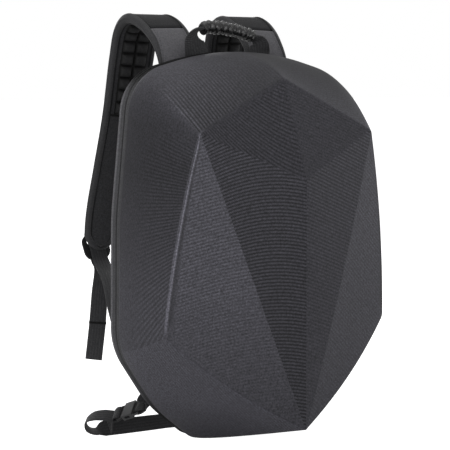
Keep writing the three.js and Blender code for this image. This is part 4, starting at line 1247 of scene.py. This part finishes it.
# %% Stitches
STITCH_LONG, STITCH_WIDE, STITCH_HIGH = 2.7 * MM, 0.32 * MM, 0.22 * MM
EDGE_PITCH = 3.7 * MM
LOZENGE = np.array([[0, 2, 4], [2, 1, 4], [1, 3, 4], [3, 0, 4], [2, 0, 5], [1, 2, 5], [3, 1, 5], [0, 3, 5]])


def stitch_points(path, normal, pitch):
    """Lozenges at even steps of a path: a point ahead, behind, at each side, above and below each place."""
    walked = walked_along(path)
    places = np.arange(pitch / 2, walked[-1], pitch)
    tables = (path, unit(np.gradient(path, axis=0)), normal)
    at, ahead, up = (rows_at(places, walked, table) for table in tables)
    across = np.cross(ahead, up)
    steps = [ahead * STITCH_LONG / 2, across * STITCH_WIDE, up * STITCH_HIGH]
    return np.stack([at + s * d for d in steps for s in (1, -1)], 1)


def sewn_rows(name, rows, slot):
    """One piece of thread from several rows of stitches."""
    points = np.concatenate(rows)
    faces = (LOZENGE[None, :, [0, 2, 1]] + 6 * np.arange(len(points))[:, None, None]).reshape(-1, 3)
    piece = put_mesh(name, points.reshape(-1, 3), faces, np.zeros((points.size // 3, 2)))
    return finish_piece(piece, THREAD, slot)


def both_sides(rows):
    """Rows worked out for the right strap, and the same for the left one, each with its own sway."""
    return [sway(r, SWAY_RIGHT) for r in rows] + [sway(r * [-1, 1, 1], SWAY_LEFT) for r in rows]


def edge_stitches(inset, lift, faces):
    """Rows at a distance in from the strap's edge, in millimetres, on its body side (1) or outside (-1)."""
    held = binding_rail.at - binding_rail.side * inset * MM * lip_of(binding_rail)
    crowned = binding_rail.values[:, :1] / 2 * crown_at(np.array([-inset]))
    raised = binding_rail.normal * (crowned + lift * MM)
    return [stitch_points(held + face * raised, binding_rail.normal, EDGE_PITCH) for face in faces]


ON_TAPE, BESIDE_TAPE = (4.4, 0.85), (9.4, 0.1)  # inset and lift of the rows
binding_stitches = sewn_rows("binding_stitches", both_sides(
    edge_stitches(*ON_TAPE, (1, -1)) + edge_stitches(*BESIDE_TAPE, (1,))), "binding_tape")
print("stitches on the straps", len(binding_stitches.data.vertices) // 6)

# %% [markdown]
# The cushioned lining ends at a seam across the strap. A narrow dark tape covers it, laid over the cushion
# from edge to edge.

# %% Seam under the cells
SEAM_HALF, SEAM_DEEP, SEAM_INSET = 1.5 * MM, 0.9 * MM, 8 * MM
SEAM_PLACE = CELLS["end"] + 2
SEAM_POINTS = 40


def cross_seam(distance):
    """A narrow tape across the strap's body side: places on the cushion's oval, from edge to edge."""
    here = strap.between(np.array([distance, distance + MM]))
    half, deep = here.values[0] / 2
    s = np.linspace(SEAM_INSET - half, half - SEAM_INSET, SEAM_POINTS)[:, None]
    height = deep * crown_at((np.abs(s) - half) / MM, half / MM)
    rail = Rail(here.at[0] + s * here.side[0] + height * here.normal[0],
                np.tile(here.tangent[0], (SEAM_POINTS, 1)), np.zeros((SEAM_POINTS, 1)))
    section = oval(np.array([SEAM_HALF]), np.array([SEAM_DEEP]), 16, (0.8, 0.8))
    return sweep("strap_seam_right", rail, np.broadcast_to(section, (SEAM_POINTS, 16, 2)))


finish_pair(cross_seam(SEAM_PLACE * MM), SEAM_TAPE, "binding_tape")
print("seam at mm", SEAM_PLACE)

# %% [markdown]
# At the strap's tip a loop of webbing holds a ladder lock, and the adjuster webbing runs up through the lock
# and back to the bag's side; its free end hangs with a folded hem, whose cut edge shows as a dark bar.
# Webbing is a flat section with soft edges, laid along a rail whose stations give the turns round the lock's
# bars.

# %% Lock and adjuster rails
WEBBING_WIDE, WEBBING_THICK, TURN_RADIUS = 22.5 * MM, 1.6 * MM, 3.2 * MM
LOCK_TILT, LOCK_SPIN = math.radians(14), math.radians(12)
LOCK_TOP, LOCK_MIDDLE, LOCK_BOTTOM = -14 * MM, 0.0, 18 * MM
tip = strap.between(np.array([STRAP_LENGTH - 0.2 * MM, STRAP_LENGTH]))
tip_ahead, tip_out, tip_side = tip.tangent[-1], -tip.normal[-1], tip.side[-1]
lock_through = tip_out * math.cos(LOCK_TILT) + tip_ahead * math.sin(LOCK_TILT)
lean_ahead = tip_ahead * math.cos(LOCK_TILT) - tip_out * math.sin(LOCK_TILT)
lock_along = lean_ahead * math.cos(LOCK_SPIN) + np.cross(lock_through, lean_ahead) * math.sin(LOCK_SPIN)
lock_across = np.cross(lock_along, lock_through)
lock_middle = tip.at[-1] - tip_ahead * 6 * MM + tip_out * (STRAP[-1, 4] / 2 + 9.5) * MM


def plane_at(origin, ahead, through_way):
    """Gives a function from distances along and through a plane to places."""
    def place(along, through):
        """The place at a distance along the plane and one through it."""
        along, through = np.broadcast_arrays(np.asarray(along), np.asarray(through))
        return origin + along[..., None] * ahead + through[..., None] * through_way
    return place


def round_bar(place, along, side, start):
    """A half turn round a bar: the sine of the angle along, the cosine through."""
    angle = np.radians([0, 45, 90, 135, 180])
    return place(along + side * TURN_RADIUS * np.sin(angle), start * TURN_RADIUS * np.cos(angle))


def on_strap(rows):
    """Places over the strap's outer face, by distance from the tip and lift off the face, in millimetres."""
    rows = np.array(rows, float) * MM
    rail = strap.between(np.append(STRAP_LENGTH + rows[:, 0], STRAP_LENGTH))
    return (rail.at - rail.normal * (rail.values[:, 1:] / 2))[:-1] - rail.normal[:-1] * rows[:, 1:]


WEBBING_POINTS, WEBBING_SQUARE = 28, (0.5, 0.22)


def ribbon(name, places, sides, wide, thick):
    """Webbing through stations: a flat oval section whose width and thickness may change."""
    count = len(places)
    values = np.stack([np.broadcast_to(wide, count), np.broadcast_to(thick, count)], -1)
    rail = rail_through(places, np.broadcast_to(sides, (count, 3)), values, 10)
    return rail, sweep(name, rail, oval(*rail.values.T / 2, WEBBING_POINTS, WEBBING_SQUARE))


def turned_sides(degrees):
    """Sideways directions turned about the vertical."""
    turned = np.radians(degrees)
    return np.stack([np.cos(turned), np.sin(turned), 0 * turned], -1)


at_lock = plane_at(lock_middle, lock_along, lock_through)
LOOP_UNDER = [(-62, 1.4), (-50, 1.4), (-39, 2.8), (-28, 6.4)]  # distance from the tip and lift
LOOP_OVER = [(-62, 3.4), (-50, 3.9), (-39, 8.6), (-28, 15.4)]
round_top = round_bar(at_lock, LOCK_TOP, 1, -1)
loop_places = np.vstack([on_strap(LOOP_UNDER), round_top, on_strap(LOOP_OVER)[::-1]])
loop_sides = np.vstack([np.tile(tip_side, (len(LOOP_UNDER), 1)), np.tile(lock_across, (len(round_top), 1)),
                        np.tile(tip_side, (len(LOOP_OVER), 1))])
loop_rail, loop_right = ribbon("lock_loop_webbing_right", loop_places, loop_sides,
                               WEBBING_WIDE, WEBBING_THICK)
TAIL = np.array([  # x, y, z, thickness, turn of the width about the vertical
    [121, 141, -168, 3.2, 28], [115.9, 138.2, -118, 3.2, 17], [115.6, 138, -114, 1.6, 16],
    [112.6, 137.4, -78, 1.6, 12], [108.8, 137.6, -44, 1.6, 6]])
ANCHOR = np.array([[120, 86, -54], [133, 38, -85], [140, 3, -109], [140, -9.4, -122], [138, -10.9, -136]])
through_lock = np.vstack([at_lock(LOCK_BOTTOM + 3 * MM, TURN_RADIUS)[None],
                          round_bar(at_lock, LOCK_MIDDLE, -1, 1),
                          at_lock(LOCK_BOTTOM + 4 * MM, -TURN_RADIUS)[None]])
adjuster_places = np.vstack([TAIL[:, :3] * MM, through_lock, ANCHOR * MM])
adjuster_sides = np.vstack([turned_sides(TAIL[:, 4]), np.tile(lock_across, (len(through_lock), 1)),
                            np.tile(SIDEWAYS, (len(ANCHOR), 1))])
adjuster_thick = np.concatenate([TAIL[:, 3] * MM, np.full(len(through_lock) + len(ANCHOR), WEBBING_THICK)])
adjuster_rail, adjuster_right = ribbon("adjuster_webbing_right", adjuster_places, adjuster_sides,
                                       WEBBING_WIDE, adjuster_thick)
finish_pair(loop_right, WEBBING_CLOTH, "webbing", "lock_loop")
finish_pair(adjuster_right, WEBBING_CLOTH, "webbing", "adjuster")
print("loop and adjuster length mm", [round(r.distance[-1] / MM, 1) for r in (loop_rail, adjuster_rail)])

# %% [markdown]
# The free end's hem is sewn with rows straight across it, on both faces. The cut edge of the fold is a short
# dark sleeve, a little wider and thicker than the webbing.

# %% Hems
HEM_ROWS = (5, 43, 46)
HEM_INSET, HEM_LIFT, HEM_PITCH, HEM_POINTS = 1.5 * MM, 0.12 * MM, 3.1 * MM, 12
RAW_EDGE = np.linspace(49, 52, 4) * MM
RAW_WIDER, RAW_THICKER = 0.5 * MM, 0.4 * MM


def hem_stitches(rail, wide, places):
    """Rows straight across webbing at distances from its free end, on both faces."""
    here = rail.between(np.array(places) * MM)
    s = np.linspace(HEM_INSET - wide / 2, wide / 2 - HEM_INSET, HEM_POINTS)[:, None]
    lift = here.values[:, 1] / 2 + HEM_LIFT
    return [stitch_points(at + s * side + face * rise * normal, np.tile(normal, (HEM_POINTS, 1)), HEM_PITCH)
            for at, side, normal, rise in zip(here.at, here.side, here.normal, lift) for face in (1, -1)]


hem_rows = hem_stitches(adjuster_rail, WEBBING_WIDE, HEM_ROWS)
hems = sewn_rows("adjuster_stitches", both_sides(hem_rows), "webbing")
print("stitches on the adjusters", len(hems.data.vertices) // 6)
raw_half = np.full(len(RAW_EDGE), WEBBING_WIDE / 2 + RAW_WIDER)
raw_deep = np.full(len(RAW_EDGE), WEBBING_THICK + RAW_THICKER)
raw_edge = sweep("adjuster_fold_right", adjuster_rail.between(RAW_EDGE),
                 oval(raw_half, raw_deep, WEBBING_POINTS, WEBBING_SQUARE))
finish_pair(raw_edge, SEAM_TAPE, "webbing")

# %% [markdown]
# The handle is a strip of webbing sewn to the back at both ends, with a gathered sleeve over its middle. The
# gathers are unequal folds: a few sines of different length along the sleeve, shifted as they go round it,
# which fall over each other as bunched cloth does.

# %% Handle
HANDLE = np.array([  # x, y, z, turn of the width about the vertical, width, thickness
    [-43, -10.9, 204, 0, 33, 1.6], [-43.5, -10.9, 236, 0, 33, 1.6], [-47.5, -12, 255, 12, 28, 1.9],
    [-43, -11, 265.5, 50, 15, 3.4], [-29, -9, 270, 80, 10.4, 4.6], [-13, -8.5, 270.5, 90, 10, 5],
    [12, -8.5, 267, 90, 10, 5], [35, -9, 260.5, 105, 10.4, 4.6], [45.5, -11.4, 253.5, 145, 20, 2.6],
    [47, -10.7, 242, 180, 30, 1.6], [46, -10.9, 204, 180, 30, 1.6]])
HANDLE_STEPS, HANDLE_SQUARE = 16, (0.5, 0.25)
handle_rail = rail_through(HANDLE[:, :3] * MM, turned_sides(HANDLE[:, 3]), HANDLE[:, 4:] * MM, HANDLE_STEPS)
handle = sweep("handle_strip", handle_rail, oval(*handle_rail.values.T / 2, WEBBING_POINTS, HANDLE_SQUARE))
finish_piece(handle, WEBBING_CLOTH, "webbing", "handle_webbing")


def gathers(s, angle):
    """Folds of the sleeve: three sines along it with unequal pitch and a shift round it, sharpened by taking
    the absolute value of the longest."""
    long_fold = 1 - np.abs(np.sin(np.pi * s / (6.3 * MM) + 0.9 * np.sin(angle + 0.4)))
    mid_fold = np.sin(2 * np.pi * s / (9.1 * MM) + 1.6 * np.cos(angle))
    small_fold = np.sin(2 * np.pi * s / (3.4 * MM) + 2 * angle)
    return 1.6 * long_fold + 0.5 * mid_fold + 0.16 * small_fold - 0.8


GRIP_FIRST, GRIP_LAST = 3.55, 7.3  # in stations of the handle
GRIP_ROWS, GRIP_POINTS = 260, 48
GRIP_HALF, GRIP_DEEP, GRIP_MOUTH = 8.8 * MM, 7.9 * MM, 3 * MM
stations = np.arange(len(handle_rail.at)) / HANDLE_STEPS
grip_ends = np.interp([GRIP_FIRST, GRIP_LAST], stations, handle_rail.distance)
grip_places = np.linspace(*grip_ends, GRIP_ROWS)
grip_rail = handle_rail.between(grip_places)
angle = (np.arange(GRIP_POINTS) + 0.5) * 2 * np.pi / GRIP_POINTS
mouth = end_round(grip_places, *grip_ends, GRIP_MOUTH)[:, None]
gathered = gathers((grip_places - grip_ends[0])[:, None], angle[None]) * MM
sleeve = sweep("handle_sleeve", grip_rail, np.stack([
    (GRIP_HALF + gathered) * np.cos(angle) * mouth, (GRIP_DEEP + gathered) * np.sin(angle) * mouth], -1))
finish_piece(sleeve, SLEEVE_CLOTH, "grip_sleeve", "handle_grip")
print("handle length mm", round(handle_rail.distance[-1] / MM, 1))
print("sleeve length mm", round(np.ptp(grip_ends) / MM, 1))

# %% [markdown]
# The waist belt is narrow webbing in two parts, joined by a side-release buckle that hangs at the left. One
# part is short and sewn on at the left; the other goes round behind the wearer's space and is sewn on at the
# right, with its free end folded back from the buckle.

# %% Waist belt
BELT_WIDE = 20 * MM
buckle_start, buckle_end = np.array([-118, 2, -203]) * MM, np.array([-136, 28, -216]) * MM
SOCKET_BAR, PLUG_BAR = 1.5 * MM, 33.5 * MM


def leaning(lean, turn):
    """A direction that leans from the vertical by one angle, towards a bearing given by another."""
    lean, turn = np.radians(lean), np.radians(turn)
    return np.stack([np.sin(lean) * np.cos(turn), np.sin(lean) * np.sin(turn), np.cos(lean)], -1)


buckle_along = unit(buckle_end - buckle_start)
buckle_lean = leaning(66, 60)
buckle_across = unit(buckle_lean - buckle_lean.dot(buckle_along) * buckle_along)
buckle_through = np.cross(buckle_along, buckle_across)

at_buckle = plane_at(buckle_start, buckle_along, buckle_through)
BELT_LEFT = np.array([[-104, -10.9, -172], [-113, -10.6, -186], [-116, -7, -194]]) * MM
TO_SOCKET, FROM_SOCKET = (-8 * MM, 1.6 * MM), (-9 * MM, -1.6 * MM)  # along and through the buckle
left_places = np.vstack([BELT_LEFT, at_buckle(*TO_SOCKET)[None], round_bar(at_buckle, SOCKET_BAR, 1, 1),
                         at_buckle(*FROM_SOCKET)[None]])
left_sides = np.vstack([np.tile([-0.75, 0, 0.66], (len(BELT_LEFT), 1)),
                        np.tile(buckle_across, (len(left_places) - len(BELT_LEFT), 1))])
belt_left_rail, belt_left = ribbon("waist_belt_left", left_places, left_sides, BELT_WIDE, WEBBING_THICK)
finish_piece(belt_left, BELT_CLOTH, "webbing", "belt_left")
BELT_TAIL = np.array([  # x, y, z, lean of the width, bearing of the lean
    [-141, 46, -236, 10, 60], [-140, 40, -230, 34, 60]])
BELT_FAR = np.array([  # the same five numbers, from the buckle to the bag's right side
    [-150, 44, -219, 64, 60], [-160, 54, -221.5, 72, 60], [-166.5, 60, -227.5, 86, 60],
    [-165, 63, -237, 89, 60], [-158, 63.5, -243, 88, 60], [-150, 63, -244.5, 78, 60],
    [-141, 61, -241.5, 22, 60], [-128, 57, -240.5, 4, 90], [-64, 40, -236.5, 38, 90],
    [30, 27, -236, 30, 90], [92, 22, -226, 8, 0], [116, 12, -211, 30, 0], [118, -4, -197, 52, 0],
    [113, -10.4, -186, 59, 0], [104, -10.9, -171, 59, 0]])
PLUG_LEAVE, PLUG_SPREAD = PLUG_BAR + 5 * MM, 2.6 * MM
round_plug = np.vstack([at_buckle(PLUG_LEAVE, -PLUG_SPREAD)[None], round_bar(at_buckle, PLUG_BAR, -1, -1),
                        at_buckle(PLUG_LEAVE, PLUG_SPREAD)[None]])
right_places = np.vstack([BELT_TAIL[:, :3] * MM, round_plug, BELT_FAR[:, :3] * MM])
right_sides = np.vstack([leaning(BELT_TAIL[:, 3], BELT_TAIL[:, 4]),
                         np.tile(buckle_across, (len(round_plug), 1)),
                         leaning(BELT_FAR[:, 3], BELT_FAR[:, 4])])
belt_right_rail, belt_right = ribbon("waist_belt_right", right_places, right_sides, BELT_WIDE, WEBBING_THICK)
finish_piece(belt_right, BELT_CLOTH, "webbing", "belt_right")
print("belt lengths mm", [round(r.distance[-1] / MM, 1) for r in (belt_left_rail, belt_right_rail)])

# %% [markdown]
# The locks, the buckle and the zip slider are hard and already have their shape in the solids. A copy of
# each gets its loose triangles merged, its flat faces joined, and a small bevel that catches the light as a
# moulded edge does.

# %% Locks, buckle and slider
def bevelled(node, name, width, material, slot):
    """A copy of a solid with merged points, whole flat faces and bevelled edges."""
    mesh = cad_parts[node].data.copy()
    mesh.name = name
    shape = bmesh.new()
    shape.from_mesh(mesh)
    bmesh.ops.remove_doubles(shape, verts=shape.verts, dist=1e-5)
    bmesh.ops.dissolve_limit(shape, angle_limit=math.radians(2), verts=shape.verts, edges=shape.edges)
    bmesh.ops.recalc_face_normals(shape, faces=shape.faces)
    shape.to_mesh(mesh)
    shape.free()
    piece = bpy.data.objects.new(name, mesh)
    bpy.context.scene.collection.objects.link(piece)
    mesh.polygons.foreach_set("use_smooth", np.ones(len(mesh.polygons), bool))
    edge = piece.modifiers.new("moulded_edge", "BEVEL")
    edge.width = width * MM
    edge.segments = 3
    edge.limit_method = "ANGLE"
    edge.angle_limit = math.radians(25)
    edge.harden_normals = True
    return finish_piece(piece, material, slot, node)


HARD_PIECES = [  # solid, name, bevel's width in millimetres, material, slot
    ("ladder_lock_right", "lock_right", 0.8, BLACK_PLASTIC, "black_plastic"),
    ("ladder_lock_left", "lock_left", 0.8, BLACK_PLASTIC, "black_plastic"),
    ("buckle_socket", "waist_socket", 0.7, BUCKLE_PLASTIC, "black_plastic"),
    ("buckle_plug", "waist_plug", 0.6, BLACK_PLASTIC, "black_plastic"),
    ("zip_slider", "zip_pull", 0.5, SLIDER_METAL, "slider_metal")]
hardware = [bevelled(*row) for row in HARD_PIECES]
print("hard pieces", [p.name for p in hardware])

# %% [markdown]
# A catalogue picture is taken on a table of white acrylic that is lit from below, so that shadows stay pale,
# with soft panels at the sides and above. The floor glows for the same reason. The surround is white to the
# camera, and dimmer as a light, so that the panels shape the facets.

# %% Floor and lights
FLOOR_SIZE, FLOOR_GAP = 30, 0.001
FLOOR_GLOW = 0.95
SURROUND_LIGHT = 0.45
PANEL_LIGHTS = [  # name, place, size, power
    ("left_panel", (-1.9, -1.2, 0.45), 1.2, 5.5), ("right_panel", (1.9, 0.1, 0.4), 1.4, 5),
    ("top_panel", (-0.5, 0.1, 2.0), 1.6, 7.5), ("low_panel", (-1.1, -1.9, -0.05), 0.9, 7),
    ("rear_panel", (0.5, 2.1, 0.5), 1.4, 12)]


def floor_plane(size, level):
    """A flat square at a level, big enough to reach the horizon."""
    corners = np.array([[-1, -1, 0], [1, -1, 0], [1, 1, 0], [-1, 1, 0]], float) * size + [0, 0, level]
    mesh = bpy.data.meshes.new("floor")
    mesh.from_pydata(corners.tolist(), [], [(0, 1, 2, 3)])
    plane = bpy.data.objects.new("floor", mesh)
    bpy.context.scene.collection.objects.link(plane)
    return plane


def panel_light(name, place, size, power):
    """A square lamp that looks at the bag."""
    lamp = bpy.data.lights.new(name, "AREA")
    lamp.shape = "SQUARE"
    lamp.size = size
    lamp.energy = power
    holder = bpy.data.objects.new(name, lamp)
    holder.location = place
    holder.rotation_euler = (AIM - Vector(place)).to_track_quat("-Z", "Y").to_euler()
    bpy.context.scene.collection.objects.link(holder)


def seen_by_camera(tree):
    """A socket that is one where the camera looks, and zero for light that falls on the bag."""
    return tree.nodes.new("ShaderNodeLightPath").outputs["Is Camera Ray"]


def glowing_white():
    """The floor's white, which glows to the camera alone."""
    material = moulded("floor_white", (0.7, 0.7, 0.7), 0.8)
    tree = material.node_tree
    shader = tree.nodes["Principled BSDF"]
    shader.inputs["Emission Color"].default_value = (1, 1, 1, 1)
    glow = calculate(tree, "MULTIPLY", seen_by_camera(tree), FLOOR_GLOW)
    tree.links.new(glow, shader.inputs["Emission Strength"])
    return material


def white_surround():
    """A world that the camera sees as white and that lights the bag less."""
    world = bpy.data.worlds.new("surround")
    world.use_nodes = True
    tree = world.node_tree
    back = tree.nodes["Background"]
    back.inputs["Color"].default_value = (1, 1, 1, 1)
    seen = seen_by_camera(tree)
    strength = calculate(tree, "MULTIPLY_ADD", seen, 1 - SURROUND_LIGHT, SURROUND_LIGHT)
    tree.links.new(strength, back.inputs["Strength"])
    bpy.context.scene.world = world


visual_low, visual_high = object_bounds()
floor = floor_plane(FLOOR_SIZE, visual_low.z - FLOOR_GAP)
floor.data.materials.append(glowing_white())
for row in PANEL_LIGHTS:
    panel_light(*row)
white_surround()
bpy.context.scene.view_settings.view_transform = "Standard"
print("lights", [row[0] for row in PANEL_LIGHTS])

# %% [markdown]
# Last, the box of the dressed bag is printed. It should agree closely with the box of the solids, because
# cloth and thread add little to a bag's size.

# %% Sizes and finish
print("visual box", [round(v, 4) for v in visual_high - visual_low])
